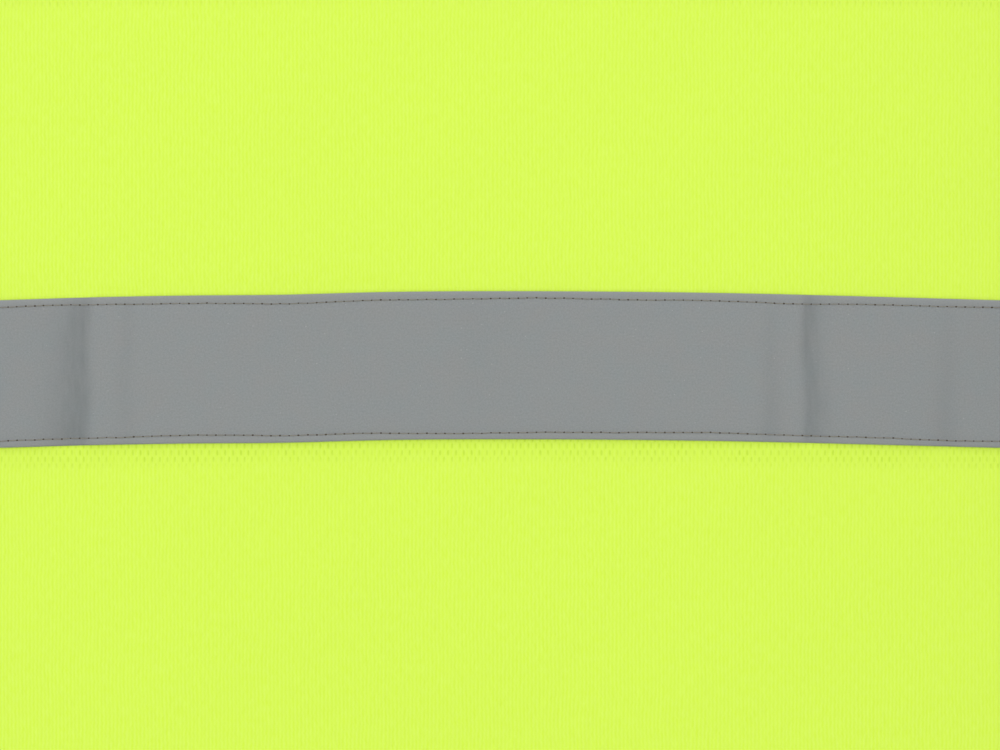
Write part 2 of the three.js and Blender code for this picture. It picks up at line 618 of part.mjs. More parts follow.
// The slider runs on the left row of teeth. Its right channel is free while the zip is undone.
const postX = [teethInner - CLEARANCE - POST_WIDTH, teethInner - CLEARANCE];
const channel = TEETH_WIDTH + 2 * CLEARANCE;
const sliderX = [postX[0] - channel - FLANGE, postX[1] + channel + FLANGE];
const channelHalf = TEETH_THICK / 2 + CLEARANCE;
const sliderFront = ZIP_PLANE - channelHalf - SLIDER_PLATE;
const sliderBack = ZIP_PLANE + channelHalf + SLIDER_PLATE;
const sliderZ = [boxTop + CLEARANCE, boxTop + CLEARANCE + SLIDER_LENGTH];
const sliderMiddle = (sliderX[0] + sliderX[1]) / 2;

// The box holds both lower ends. The left end is fixed in it, and its right hole is for the pin.
function retainerBox() {
  const room = CLEARANCE + TEETH_THICK / 2;
  const body = block([sliderX[0], sliderFront, ZIP_BOTTOM], [sliderX[1], sliderBack, boxTop]);
  const hole = block([sliderX[0] + FLANGE, ZIP_PLANE - room, ZIP_BOTTOM + 1.5], [postX[0], ZIP_PLANE + room, boxTop + 1]);
  const slitHalf = TAPE_SLIT / 2;
  const slitX = teethOuter;
  const slit = block([slitX, ZIP_PLANE - slitHalf, ZIP_BOTTOM - 1], [sliderX[1] + 1, ZIP_PLANE + slitHalf, boxTop + 1]);
  return body.subtract(hole).subtract(slit);
}
add("retainer_box", toGeometry(retainerBox()), materials.zipTeeth);

// The pull's hinge bar passes through the crown, an arch on the slider's front plate.
const crownTop = sliderZ[1] - 1;
const crownX = [sliderMiddle - CROWN_WIDTH / 2, sliderMiddle + CROWN_WIDTH / 2];
const hinge = { y: sliderFront - (CROWN_REACH - CROWN_WALL) / 2, z: crownTop - CROWN_WALL - PULL_THICK };

function slider() {
  const body = block([sliderX[0], sliderFront, sliderZ[0]], [sliderX[1], sliderBack, sliderZ[1]]);
  const [inFront, behind] = [ZIP_PLANE - channelHalf, ZIP_PLANE + channelHalf];
  const [below, above] = [sliderZ[0] - 1, sliderZ[1] + 1];
  const channels = block([sliderX[0] + FLANGE, inFront, below], [sliderX[1] - FLANGE, behind, above]);
  const slitHalf = TAPE_SLIT / 2;
  const slit = block([sliderX[0] - 1, ZIP_PLANE - slitHalf, below], [sliderX[1] + 1, ZIP_PLANE + slitHalf, above]);
  const postFrom = sliderZ[1] - POST_LENGTH;
  const post = block([postX[0], inFront - 0.1, postFrom], [postX[1], behind + 0.1, sliderZ[1]]);
  const arch = block([crownX[0], sliderFront - CROWN_REACH, crownTop - CROWN_LENGTH], [crownX[1], sliderFront + 0.1, crownTop]);
  const eye = block(
    [crownX[0] - 1, sliderFront - CROWN_REACH + CROWN_WALL, crownTop - CROWN_LENGTH + CROWN_WALL],
    [crownX[1] + 1, sliderFront, crownTop - CROWN_WALL],
  );
  return body.subtract(channels).subtract(slit).add(post).add(arch.subtract(eye));
}
add("zip_slider", toGeometry(slider()), materials.zipMetal);

// The pull is a plate with a slot for the crown. It is cut from an outline with round ends.
function pull() {
  const [half, slotHalf] = [PULL_WIDTH / 2, PULL_SLOT_WIDTH / 2];
  const top = PULL_THICK / 2;
  const outline = new THREE.Shape();
  outline.moveTo(-half, top).lineTo(-half, half - PULL_LENGTH);
  outline.absarc(0, half - PULL_LENGTH, half, Math.PI, 2 * Math.PI, false);
  outline.lineTo(half, top).closePath();
  const slot = new THREE.Path();
  const slotTop = -PULL_THICK / 2;
  slot.moveTo(-slotHalf, slotTop).lineTo(slotHalf, slotTop);
  slot.lineTo(slotHalf, slotTop - PULL_SLOT_LENGTH).lineTo(-slotHalf, slotTop - PULL_SLOT_LENGTH).closePath();
  outline.holes.push(slot);
  const plate = new THREE.ExtrudeGeometry(outline, { depth: PULL_THICK, bevelEnabled: false, curveSegments: 8 });
  return plate.translate(0, 0, -PULL_THICK / 2).rotateX(Math.PI / 2);
}
add("zip_pull", pull(), materials.zipMetal, sliderMiddle, hinge.y, hinge.z);

// ---- Pen pocket ---------------------------------------------------------------------------------------------

// A curved block on the cloth, between two distances across, two levels and two heights above the surface.
function patch([s0, s1], [z0, z1], [inner, outer]) {
  const columns = [0, 0.25, 0.5, 0.75, 1].map((share) => THREE.MathUtils.lerp(s0, s1, share));
  return sheet([z1, z0].map((z) => columns.map((s) => [s, -levelToCloth(z)])), inner, outer);
}

const pocketInner = FABRIC / 2 + CLEARANCE;
const pocketOuter = pocketInner + POCKET_DEPTH;
const besideNeck = frontNeck(levelToCloth(POCKET_MOUTH + FLAP_RISE)) + BINDING_WIDTH + 2;
const pocketFrom = Math.max(POCKET_FROM_CENTRE, besideNeck);
const pocketS = [pocketFrom, pocketFrom + POCKET_WIDTH];
const pocketZ = [POCKET_MOUTH - POCKET_HEIGHT, POCKET_MOUTH];
const narrower = ([low, high], by) => [low + by, high - by];

function pocket() {
  const outside = toSolid(patch(pocketS, pocketZ, [pocketInner, pocketOuter]));
  const roomZ = [pocketZ[0] + POCKET_CLOTH, pocketZ[1] + 1];
  const room = patch(narrower(pocketS, POCKET_CLOTH), roomZ, [pocketInner - 1, pocketOuter - POCKET_CLOTH]);
  return outside.subtract(toSolid(room));
}
add("pen_pocket", toGeometry(pocket()), materials.fabric);

// The flap leaves the cloth above the mouth, passes over it and hangs in front of the pocket.
const padGap = 2 * PAD_THICK + 3 * CLEARANCE; // between the pocket and the flap, for the two patches
const flapInner = pocketOuter + padGap;
const flapZ = [POCKET_MOUTH - FLAP_HANG, POCKET_MOUTH + FLAP_RISE];

function flap() {
  const over = patch(narrower(pocketS, -1), flapZ, [pocketInner, flapInner + POCKET_CLOTH]);
  const under = patch(narrower(pocketS, -2), [flapZ[0] - 1, flapZ[1] - POCKET_CLOTH], [pocketInner - 1, flapInner]);
  return toSolid(over).subtract(toSolid(under));
}
add("pocket_flap", toGeometry(flap()), materials.fabric);

const padS = narrower(pocketS, (POCKET_WIDTH - PAD_WIDTH) / 2);
const padZ = [flapZ[0] + 4, flapZ[0] + 4 + PAD_HEIGHT];
const loopPad = patch(padS, padZ, [pocketOuter + CLEARANCE, pocketOuter + CLEARANCE + PAD_THICK]);
add("loop_patch", loopPad, materials.hookLoop);
const hookPad = patch(padS, padZ, [flapInner - CLEARANCE - PAD_THICK, flapInner - CLEARANCE]);
add("hook_patch", hookPad, materials.hookLoop);

// ---- Labels and hanger loop ---------------------------------------------------------------------------------

const labelOuter = -FABRIC / 2 - LABEL_CLEARANCE;
const labelLayer = [labelOuter - LABEL_THICK, labelOuter];
const neckLabelRows = [0, 0.5, 1].map((down) =>
  [-0.5, 0, 0.5].map((across) => {
    const g = BACK_NECK_DROP + NECK_LABEL.below + down * NECK_LABEL.height;
    return [across * NECK_LABEL.width, g];
  }),
);
add("neck_label", sheet(neckLabelRows, ...labelLayer), materials.label);

const careS = [SIDE - CARE_LABEL.fromSeam - CARE_LABEL.width, SIDE - CARE_LABEL.fromSeam];
const careZ = [CARE_LABEL.level, CARE_LABEL.level + CARE_LABEL.height];
add("care_label", patch(careS, careZ, labelLayer), materials.label);

// The loop hangs straight down from the neck binding, clear of the back panel.
const loopShare = LOOP_HALF_WIDTH / SHOULDER_TIP;
const loopSeat = onSkin([LOOP_HALF_WIDTH, backNeck(loopShare) + LOOP_SEAT], -bindingOutside);
class LoopPath extends THREE.Curve {
  getPoint(t) {
    const angle = Math.PI * t;
    return new THREE.Vector3(-LOOP_HALF_WIDTH * Math.cos(angle), 0, -LOOP_DROP * Math.sin(angle) ** 0.8);
  }
}
const strap = new THREE.Shape([
  new THREE.Vector2(-LOOP_THICK / 2, -LOOP_STRAP / 2),
  new THREE.Vector2(LOOP_THICK / 2, -LOOP_STRAP / 2),
  new THREE.Vector2(LOOP_THICK / 2, LOOP_STRAP / 2),
  new THREE.Vector2(-LOOP_THICK / 2, LOOP_STRAP / 2),
]);
const loop = new THREE.ExtrudeGeometry(strap, { extrudePath: new LoopPath(), steps: 18, bevelEnabled: false });
add("hanger_loop", loop, materials.binding, 0, loopSeat.y, loopSeat.z - 3.5 * CLEARANCE);

export default vest;
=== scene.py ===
"""A high-visibility vest of fluorescent knit with sewn reflective tape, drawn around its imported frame.

The whole vest is laid out on one cloth surface. A place on it is (
    s, g
) in millimetres: s runs from the centre
line along the level section, and g runs down from the shoulder line, positive down the back and negative down
the front. Every layer, thread and fold is placed from that surface, so all of them follow the same drape.
"""

import math
import random

import bmesh
import bpy
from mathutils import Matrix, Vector


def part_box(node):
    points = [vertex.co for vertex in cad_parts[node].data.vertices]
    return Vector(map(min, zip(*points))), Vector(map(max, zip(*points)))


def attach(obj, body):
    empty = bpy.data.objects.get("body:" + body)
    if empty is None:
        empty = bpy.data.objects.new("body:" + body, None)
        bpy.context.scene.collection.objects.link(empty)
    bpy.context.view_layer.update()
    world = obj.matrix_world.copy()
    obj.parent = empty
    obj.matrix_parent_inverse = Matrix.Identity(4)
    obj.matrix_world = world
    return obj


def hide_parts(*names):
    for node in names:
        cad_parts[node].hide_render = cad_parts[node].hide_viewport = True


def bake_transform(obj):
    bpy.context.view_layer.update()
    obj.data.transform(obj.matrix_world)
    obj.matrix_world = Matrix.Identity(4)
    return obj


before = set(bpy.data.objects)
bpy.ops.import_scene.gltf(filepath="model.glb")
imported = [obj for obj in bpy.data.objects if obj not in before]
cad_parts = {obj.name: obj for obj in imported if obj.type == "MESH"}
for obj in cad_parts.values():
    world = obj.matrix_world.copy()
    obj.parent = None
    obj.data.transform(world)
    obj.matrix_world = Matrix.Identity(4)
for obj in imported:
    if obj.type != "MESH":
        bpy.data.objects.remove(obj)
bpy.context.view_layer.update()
bpy.ops.object.select_all(action="DESELECT")
MM = 0.001

# ---- Sizes of the pattern, in millimetres -----------------------------------------------------------------

panel_low, panel_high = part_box("back_panel")
CAD_FABRIC = 1.0
HALF_WIDTH = panel_high.x / MM - CAD_FABRIC / 2
HALF_DEPTH = panel_high.y / MM - CAD_FABRIC / 2
LENGTH = -panel_low.z / MM
SQUARENESS = 3.6
CHEST_DROP = 190
NECK_HALF_WIDTH = 75
SHOULDER_HALF_WIDTH = 188
SHOULDER_SLOPE = 0.38
SHOULDER_EASE = 30
BACK_NECK_DROP = 104
FRONT_NECK_DROP = 313
FRONT_NECK_CURVE = 1.5
ARMHOLE_DROP = 373
ARMHOLE_CURVE = 2.6
ARMHOLE_SCOOP = 9
FRONT_EDGE = 10

TAPE_WIDTH = 50
TAPE_LAYER = (0.45, 0.85)  # inner and outer height above the middle of the cloth
BAND_ARCH = 5.25
BRACE_CENTRE = 143
TAPE_TURN_IN = 1.5
LOWER_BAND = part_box("back_lower_tape")[1].z / MM - TAPE_WIDTH / 2
UPPER_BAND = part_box("back_upper_tape")[1].z / MM - TAPE_WIDTH / 2

KNIT_LAYER = (-0.25, 0.25)
WALE_PITCH = 1.3
COURSE_PITCH = 2.3
STITCH_PITCH = 3.1
STITCH_FROM_EDGE = 2.4
STITCH_LINE = TAPE_WIDTH / 2 - STITCH_FROM_EDGE  # from the middle of a tape out to its stitches
THREAD = 0.35

BINDING_REACH = 10

CAP_RUN = CHEST_DROP * math.pi / 2
HEM = CAP_RUN + LENGTH - CHEST_DROP


def level_to_cloth(z):
    """The distance down the cloth of a level below the chest."""
    return CAP_RUN - CHEST_DROP - z


# ---- The cloth surface ------------------------------------------------------------------------------------


def hoop_table(count=3000):
    """Arc length, x and y along a quarter of the level section, from the centre line to the side seam."""
    rows, length, before = [], 0.0, None
    for i in range(count + 1):
        angle = math.pi / 2 * i / count
        x = HALF_WIDTH * math.sin(angle) ** (2 / SQUARENESS)
        y = HALF_DEPTH * max(0.0, math.cos(angle)) ** (2 / SQUARENESS)
        if before:
            length += math.hypot(x - before[0], y - before[1])
        rows.append((length, x, y))
        before = (x, y)
    return rows


def even_table(rows, count=4000):
    """The same table at equal steps of arc length, so that a place is found by dividing."""
    total, out, k = rows[-1][0], [], 0
    for i in range(count + 1):
        s = total * i / count
        while k < len(rows) - 2 and rows[k + 1][0] < s:
            k += 1
        (s0, x0, y0), (s1, x1, y1) = rows[k], rows[k + 1]
        t = 0.0 if s1 == s0 else min(1.0, (s - s0) / (s1 - s0))
        out.append((x0 + (x1 - x0) * t, y0 + (y1 - y0) * t))
    return total, out


SIDE, HOOP = even_table(hoop_table())
HOOP_STEPS = len(HOOP) - 1


def hoop_at(s):
    place = min(max(s / SIDE, 0.0), 1.0) * HOOP_STEPS
    k = min(int(place), HOOP_STEPS - 1)
    t = place - k
    (x0, y0), (x1, y1) = HOOP[k], HOOP[k + 1]
    return x0 + (x1 - x0) * t, y0 + (y1 - y0) * t


def cloth_across(x):
    """The cloth coordinate at a half width."""
    low, high = 0.0, SIDE
    for _ in range(40):
        middle = (low + high) / 2
        if hoop_at(middle)[0] < x:
            low = middle
        else:
            high = middle
    return low


def slope_run(x):
    return (x - NECK_HALF_WIDTH + math.hypot(x - NECK_HALF_WIDTH, SHOULDER_EASE)) / 2


SLOPE_START = slope_run(NECK_HALF_WIDTH)


def skin(s, g):
    """The point of the cloth's middle surface, before the cloth sags."""
    along = abs(s)
    past = along > SIDE
    x, y = hoop_at(2 * SIDE - along if past else along)
    shoulder = -SHOULDER_SLOPE * (slope_run(x) - SLOPE_START)
    run = abs(g)
    angle = min(run / CAP_RUN, 1.0) * math.pi / 2
    depth = y * math.sin(angle) * math.copysign(1.0, g) * (-1 if past else 1)
    z = -CHEST_DROP + (shoulder + CHEST_DROP) * math.cos(angle) - max(0.0, run - CAP_RUN)
    return Vector((math.copysign(x, s), depth, z))


def outward(s, g):
    across = skin(s + 0.6, g) - skin(s - 0.6, g)
    along = skin(s, g + 0.6) - skin(s, g - 0.6)
    return across.cross(along).normalized()


def smooth(low, high, value):
    t = min(max((value - low) / (high - low), 0.0), 1.0)
    return t * t * (3 - 2 * t)


NECK_POINT = cloth_across(NECK_HALF_WIDTH)
SHOULDER_TIP = cloth_across(SHOULDER_HALF_WIDTH)


def armhole(g):
    if g >= ARMHOLE_DROP:
        return SIDE
    share = g / ARMHOLE_DROP
    rounding = (1 - share**ARMHOLE_CURVE) ** (1 / ARMHOLE_CURVE)
    scoop = ARMHOLE_SCOOP * math.sin(math.pi * min(1, share * 1.3)) ** 2
    return SIDE - (SIDE - SHOULDER_TIP) * rounding - scoop


def front_neck(g):
    share = min(1.0, g / FRONT_NECK_DROP)
    return FRONT_EDGE + (NECK_POINT - FRONT_EDGE) * (1 - share**FRONT_NECK_CURVE)


def back_neck(s):
    across = min(1.0, abs(s) / NECK_POINT)
    return BACK_NECK_DROP * math.sqrt(1 - across**2)


def band_drop(s):
    return BAND_ARCH * (1 - math.cos(math.pi * s / SIDE)) / 2


# ---- Drape ------------------------------------------------------------------------------------------------

LOWER_BAND_CLOTH = level_to_cloth(LOWER_BAND)
UPPER_BAND_CLOTH = level_to_cloth(UPPER_BAND)
BANDS = (LOWER_BAND_CLOTH, UPPER_BAND_CLOTH)


def round_hoop(s, g):
    """The distance round the vest from the middle of the back, which runs on past the side seams."""
    return s if g > 0 else math.copysign(2 * SIDE - abs(s), s)


def arch(s, g):
    """How much lower a band lies here than at the middle of the back."""
    return band_drop(s) if g > 0 else BAND_ARCH


def from_band(s, g):
    """How far a place lies outside the nearest band; 0 under it."""
    middle = abs(g) - arch(s, g)
    return max(0.0, min(abs(middle - band) for band in BANDS) - TAPE_WIDTH / 2)


def drape(s, g):
    """How far the cloth stands out from the frame's surface: soft folds that open towards the hem at the
    sides, a pull under the arms, and slack round the armholes. The flat of the back is nearly still, and the
    zip holds the front edges straight."""
    run, u = abs(g), round_hoop(s, g)
    still = 1 - smooth(165, 255, abs(u))
    at_zip = smooth(2 * SIDE - 170, 2 * SIDE - 50, abs(u))
    turn = math.pi * u / (2 * SIDE)
    fold = math.sin(7 * turn + 0.9 + 0.004 * run) + 0.7 * math.sin(12 * turn - 1.7 - 0.006 * run)
    fold += 0.4 * math.sin(19 * turn + 0.4 + 0.01 * run)
    held = 0.55 + 0.45 * smooth(0, 30, from_band(s, g))
    loose = smooth(CAP_RUN * 0.8, HEM, run) * (1 - 0.97 * still) * (1 - at_zip)
    armpit = math.exp(-(((abs(u) - SIDE) / 70) ** 2 + ((run - ARMHOLE_DROP - 50) / 55) ** 2))
    pull = 2.6 * armpit * math.sin(0.075 * (run + 1.1 * abs(abs(u) - SIDE)) + 0.5)
    by_armhole = smooth(70, 0, armhole(run) - abs(s)) if run < ARMHOLE_DROP else 0.0
    by_armhole *= smooth(40, 120, run) * (1 - smooth(ARMHOLE_DROP - 90, ARMHOLE_DROP, run))
    slack = 2.4 * by_armhole * math.sin(0.034 * run + (0.8 if g > 0 else 2.4))
    chest = smooth(95, 160, abs(s)) * math.exp(-(((run - 190) / 110) ** 2))
    drag = 1.5 * chest * math.sin(0.05 * (abs(s) - 0.6 * run) + (0.3 if g > 0 else 1.9))
    return FOLD_SIZE * loose * held * fold + pull + slack + drag


def ripple(s, g):
    """The small unevenness that the knit keeps between its seams."""
    run, u = abs(g), round_hoop(s, g)
    slow = math.sin(0.031 * u + 0.019 * run + 1.1) * math.sin(0.027 * run - 0.6)
    quick = math.sin(0.083 * u - 0.041 * run) * math.sin(0.067 * run + 0.012 * u + 2.0)
    calm = smooth(0, 40, run) * (1 - smooth(2 * SIDE - 70, 2 * SIDE - 30, abs(u)))
    return calm * (0.3 * slow + 0.12 * quick)


FOLD_SIZE = 5.4  # how far the soft folds stand out
TUCK = 0.2  # how far the needle draws the knit in beside a band
TUCK_REACH = 6.0
SEAM_DIP = 0.4


def sink(s, g):
    """How far the knit sinks beside a band and in a seam."""
    beside = math.exp(-((from_band(s, g) / TUCK_REACH) ** 2))
    seam = max(math.exp(-(((SIDE - abs(s)) / 1.5) ** 2)), math.exp(-((g / 1.5) ** 2)))
    return TUCK * beside + SEAM_DIP * seam


PLACED = {}


def placed(s, g):
    """The point of the draped cloth's middle surface, in millimetres, and the direction out of it."""
    key = (round(s, 4), round(g, 4))
    if key not in PLACED:
        out = outward(s, g)
        PLACED[key] = (skin(s, g) + out * (drape(s, g) + ripple(s, g)), out)
    return PLACED[key]


def on_cloth(s, g, height=0.0):
    """A point in metres, at a height in millimetres above the middle of the draped cloth."""
    point, out = placed(s, g)
    return (point + out * height) * MM


def knit_point(s, g, height):
    return on_cloth(s, g, height - sink(s, g))


# ---- Making meshes ----------------------------------------------------------------------------------------


def mesh_piece(name, points, faces, uvs=None, smooth_faces=True, values=None):
    """A mesh object at the origin from points in metres. uvs and values hold one entry for each point."""
    mesh = bpy.data.meshes.new(name)
    mesh.from_pydata([tuple(p) for p in points], [], faces)
    if uvs:
        layer = mesh.uv_layers.new(name="cloth")
        corners = [0] * len(mesh.loops)
        mesh.loops.foreach_get("vertex_index", corners)
        flat = []
        for v in corners:
            flat.extend(uvs[v])
        layer.data.foreach_set("uv", flat)
    for key, column in (values or {}).items():
        attribute = mesh.attributes.new(key, "FLOAT", "POINT")
        attribute.data.foreach_set("value", column)
    mesh.polygons.foreach_set("use_smooth", [smooth_faces] * len(mesh.polygons))
    mesh.update()
    piece = bpy.data.objects.new(name, mesh)
    bpy.context.scene.collection.objects.link(piece)
    return piece


def grid_faces(width, height, offset=0, flip=False):
    faces = []
    for j in range(height - 1):
        for i in range(width - 1):
            a = offset + j * width + i
            face = (a, a + 1, a + width + 1, a + width)
            faces.append(face[::-1] if flip else face)
    return faces


def cloth_sheet(name, rows, layer, place, values=None, hand=1):
    """A closed sheet over rows of cloth places, between two heights. hand is -1 where the rows run the other
    way."""
    width, height = len(rows[0]), len(rows)
    flat = [p for row in rows for p in row]
    inner, outer = layer
    points = [place(s, g, outer) for s, g in flat] + [place(s, g, inner) for s, g in flat]
    under = len(flat)
    faces = grid_faces(width, height, 0, hand < 0) + grid_faces(width, height, under, hand > 0)
    rim = [(i, i + 1) for i in range(width - 1)]
    last = (height - 1) * width
    rim += [(last + i + 1, last + i) for i in range(width - 1)]
    rim += [((j + 1) * width, j * width) for j in range(height - 1)]
    rim += [(j * width + width - 1, (j + 1) * width + width - 1) for j in range(height - 1)]
    for a, b in rim:
        face = (a, under + a, under + b, b)
        faces.append(face if hand > 0 else face[::-1])
    uvs = [(s, abs(g)) for s, g in flat] * 2
    columns = {key: [f(s, g) for s, g in flat] * 2 for key, f in (values or {}).items()}
    return mesh_piece(name, points, faces, uvs, True, columns)


def spread(start, end, step):
    """Values from start to end, no further apart than step."""
    count = max(1, math.ceil(abs(end - start) / step))
    return [start + (end - start) * i / count for i in range(count + 1)]


def join_spreads(*stretches):
    values = []
    for start, end, step in stretches:
        part = spread(start, end, step)
        values += part[1:] if values else part
    return values


def walk(places, step, of=skin):
    """Cloth places at even distances along a line of them. of gives the point of a place."""
    points = [of(*p) for p in places]
    runs = [0.0]
    for a, b in zip(points, points[1:]):
        runs.append(runs[-1] + (b - a).length)
    count = max(1, round(runs[-1] / step))
    out, k = [], 0
    for i in range(count + 1):
        want = runs[-1] * i / count
        while k < len(runs) - 2 and runs[k + 1] < want:
            k += 1
        span = runs[k + 1] - runs[k]
        t = 0.0 if span == 0 else min(1.0, max(0.0, (want - runs[k]) / span))
        (s0, g0), (s1, g1) = places[k], places[k + 1]
        if g0 * g1 < 0 and abs(g0) > CAP_RUN:  # over the side seam, from the back to the front
            t = round(t)
        out.append((s0 + (s1 - s0) * t, g0 + (g1 - g0) * t))
    return out


def step_on_cloth(s, g, direction, distance):
    """The cloth place a distance away, in a direction that lies in the cloth."""
    across = skin(s + 0.5, g) - skin(s - 0.5, g)
    along = skin(s, g + 0.5) - skin(s, g - 0.5)
    aa, ab, bb = across.dot(across), across.dot(along), along.dot(along)
    da, db = direction.dot(across) * distance, direction.dot(along) * distance
    scale = 1 / (aa * bb - ab * ab)
    return s + (bb * da - ab * db) * scale, g + (aa * db - ab * da) * scale


def inset(edge, distance, side, closed=False):
    """The line a distance in from an edge of the cloth, on the given side of it."""
    points = [skin(*p) for p in edge]
    n, out = len(edge), []
    for i, p in enumerate(edge):
        after = points[(i + 1) % n] if closed else points[min(n - 1, i + 1)]
        before = points[i - 1] if closed else points[max(0, i - 1)]
        inwards = outward(*p).cross(after - before).normalized() * side
        out.append(step_on_cloth(*p, inwards, distance))
    return out


def volume_of(points, faces):
    total = 0.0
    for face in faces:
        a = Vector(points[face[0]])
        for k in range(1, len(face) - 1):
            total += a.dot(Vector(points[face[k]]).cross(Vector(points[face[k + 1]])))
    return total


def swept(name, sections, girths, closed=False):
    """A closed tube through sections, which are rings of points in metres. Its pattern runs along it in
    millimetres, and round it by girths."""
    n, m = len(sections), len(sections[0])
    points = [p for ring in sections for p in ring]
    faces = []
    for i in range(n if closed else n - 1):
        j = (i + 1) % n
        for k in range(m):
            q = (k + 1) % m
            faces.append((i * m + k, i * m + q, j * m + q, j * m + k))
    if not closed:
        faces.append(tuple(range(m))[::-1])
        faces.append(tuple((n - 1) * m + k for k in range(m)))
    if volume_of(points, faces) < 0:
        faces = [f[::-1] for f in faces]
    lengths = [0.0]
    for a, b in zip(sections, sections[1:]):
        lengths.append(lengths[-1] + (b[0] - a[0]).length / MM)
    uvs = [(along, around) for along in lengths for around in girths]
    return mesh_piece(name, points, faces, uvs)


# A binding's section: distance in from the cloth's edge, and height above its middle, outside first.
BINDING_OUTER = (
    (10, 0.86), (9.4, 1.02), (7, 1.06), (3, 1.06), (1, 1.0), (0, 0.82), (-0.65, 0.42), (-0.85, 0)
)
BINDING_INNER = ((10, 0.46), (6, 0.5), (2, 0.5), (0.4, 0.46), (-0.25, 0.26), (-0.4, 0))


def binding_section():
    outer = list(BINDING_OUTER) + [(a, -b) for a, b in BINDING_OUTER[-2::-1]]
    inner = list(BINDING_INNER) + [(a, -b) for a, b in BINDING_INNER[-2::-1]]
    return outer + inner[::-1]


def binding(name, edge, side, closed=False):
    """A ribbon folded over an edge of the cloth, slightly uneven where the edge under it is bulky."""
    section = binding_section()
    girths = [0.0]
    for (a0, b0), (a1, b1) in zip(section, section[1:]):
        girths.append(girths[-1] + math.hypot(a1 - a0, b1 - b0))
    edge = walk(edge, 3.2)
    if closed:
        edge = edge[:-1]
    inner = inset(edge, BINDING_REACH, side, closed)
    rings = []
    for i, ((s0, g0), (s1, g1)) in enumerate(zip(edge, inner)):
        puff = 1 + 0.05 * math.sin(i * 2.1) * math.sin(i * 0.37)
        ring = []
        for a, b in section:
            t = a / BINDING_REACH
            ring.append(on_cloth(s0 + (s1 - s0) * t, g0 + (g1 - g0) * t, b * puff))
        rings.append(ring)
    return swept(name, rings, girths, closed), edge, inner


def between(edge, inner, distance):
    """The line at a distance in from a bound edge."""
    t = distance / BINDING_REACH
    return [(s0 + (s1 - s0) * t, g0 + (g1 - g0) * t) for (s0, g0), (s1, g1) in zip(edge, inner)]


RING = [(math.cos(2 * math.pi * k / 6), math.sin(2 * math.pi * k / 6)) for k in range(6)]


class Sewing:
    """Rows of lockstitches, gathered into one mesh: a short length of thread for each, dipping into a needle
    hole at either end."""

    def __init__(self, name, thread, holes=True):
        self.name, self.thread, self.holes = name, thread, holes
        self.points, self.faces, self.dark = [], [], []
        self.chance = random.Random(name)

    def length_of_thread(self, a, b, out):
        along = b - a
        side = along.cross(out).normalized()
        start = len(self.points)
        shape = (
            (0.06, -0.20, 0.55),
            (0.16, 0.10, 0.9),
            (0.38, 0.32, 1.0),
            (0.62, 0.32, 1.0),
            (0.84, 0.10, 0.9),
            (0.94, -0.20, 0.55),
        )
        for t, lift, size in shape:
            middle = a + along * t + out * (lift * THREAD)
            for c, w in RING:
                self.points.append((middle + (side * c + out * (w * 0.8)) * (THREAD / 2 * size)) * MM)
        last = start + (len(shape) - 1) * 6
        self.faces.append(tuple(start + k for k in range(6)))
        self.faces.append(tuple(last + k for k in range(6))[::-1])
        for i in range(len(shape) - 1):
            for k in range(6):
                p, q = start + i * 6 + k, start + i * 6 + (k + 1) % 6
                self.faces.append((p, p + 6, q + 6, q))
        self.dark += [0] * (2 + 6 * (len(shape) - 1))

    def hole(self, place, along, out):
        side = along.cross(out).normalized()
        size = self.chance.uniform(0.27, 0.38)
        start = len(self.points)
        for c, w in RING:
            self.points.append(
                (place + along * (c * size * 1.2) + side * (w * size * 0.85) + out * 0.04) * MM
            )
        self.points += [(place + out * 0.1) * MM, (place - out * 0.25) * MM]
        for k in range(6):
            p, q = start + k, start + (k + 1) % 6
            self.faces += [(q, p, start + 6), (p, q, start + 7)]
        self.dark += [1] * 12

    def row(self, places, height, facing=1, surface=None):
        """Sews along a line of cloth places, at a height above the cloth's middle or on a surface of its own.
        facing is -1 on the inside."""
        spots = []
        for s, g in walk(places, STITCH_PITCH):
            point, out = placed(s, g)
            at = surface(s, g, height) / MM if surface else point + out * height * facing
            spots.append((at, out * facing))
        self.along(spots)

    def along(self, spots):
        """Sews through points in millimetres, each with the direction out of the cloth."""
        wander = [Vector((self.chance.uniform(-1, 1), 0, self.chance.uniform(-1, 1))) * 0.09 for _ in spots]
        spots = [(p + w - n * w.dot(n), n) for (p, n), w in zip(spots, wander)]
        for (a, out), (b, _) in zip(spots, spots[1:]):
            self.length_of_thread(a, b, out)
            if self.holes:
                self.hole(a, (b - a).normalized(), out)

    def finished(self):
        piece = mesh_piece(self.name, self.points, self.faces)
        piece.data.materials.append(self.thread)
        piece.data.materials.append(NEEDLE_HOLE)
        piece.data.polygons.foreach_set("material_index", self.dark)
        return piece


# ---- Materials --------------------------------------------------------------------------------------------


def linear(code):
    """A hex sRGB colour as the linear values that a socket takes."""
    channels = [int(code[i : i + 2], 16) / 255 for i in (1, 3, 5)]
    return [c / 12.92 if c <= 0.04045 else ((c + 0.055) / 1.055) ** 2.4 for c in channels] + [1]


def feed(tree, socket, value):
    """Gives a socket another node's output, a value, or a colour as a hex code."""
    if isinstance(value, bpy.types.NodeSocket):
        tree.links.new(value, socket)
    else:
        socket.default_value = linear(value) if isinstance(value, str) else value


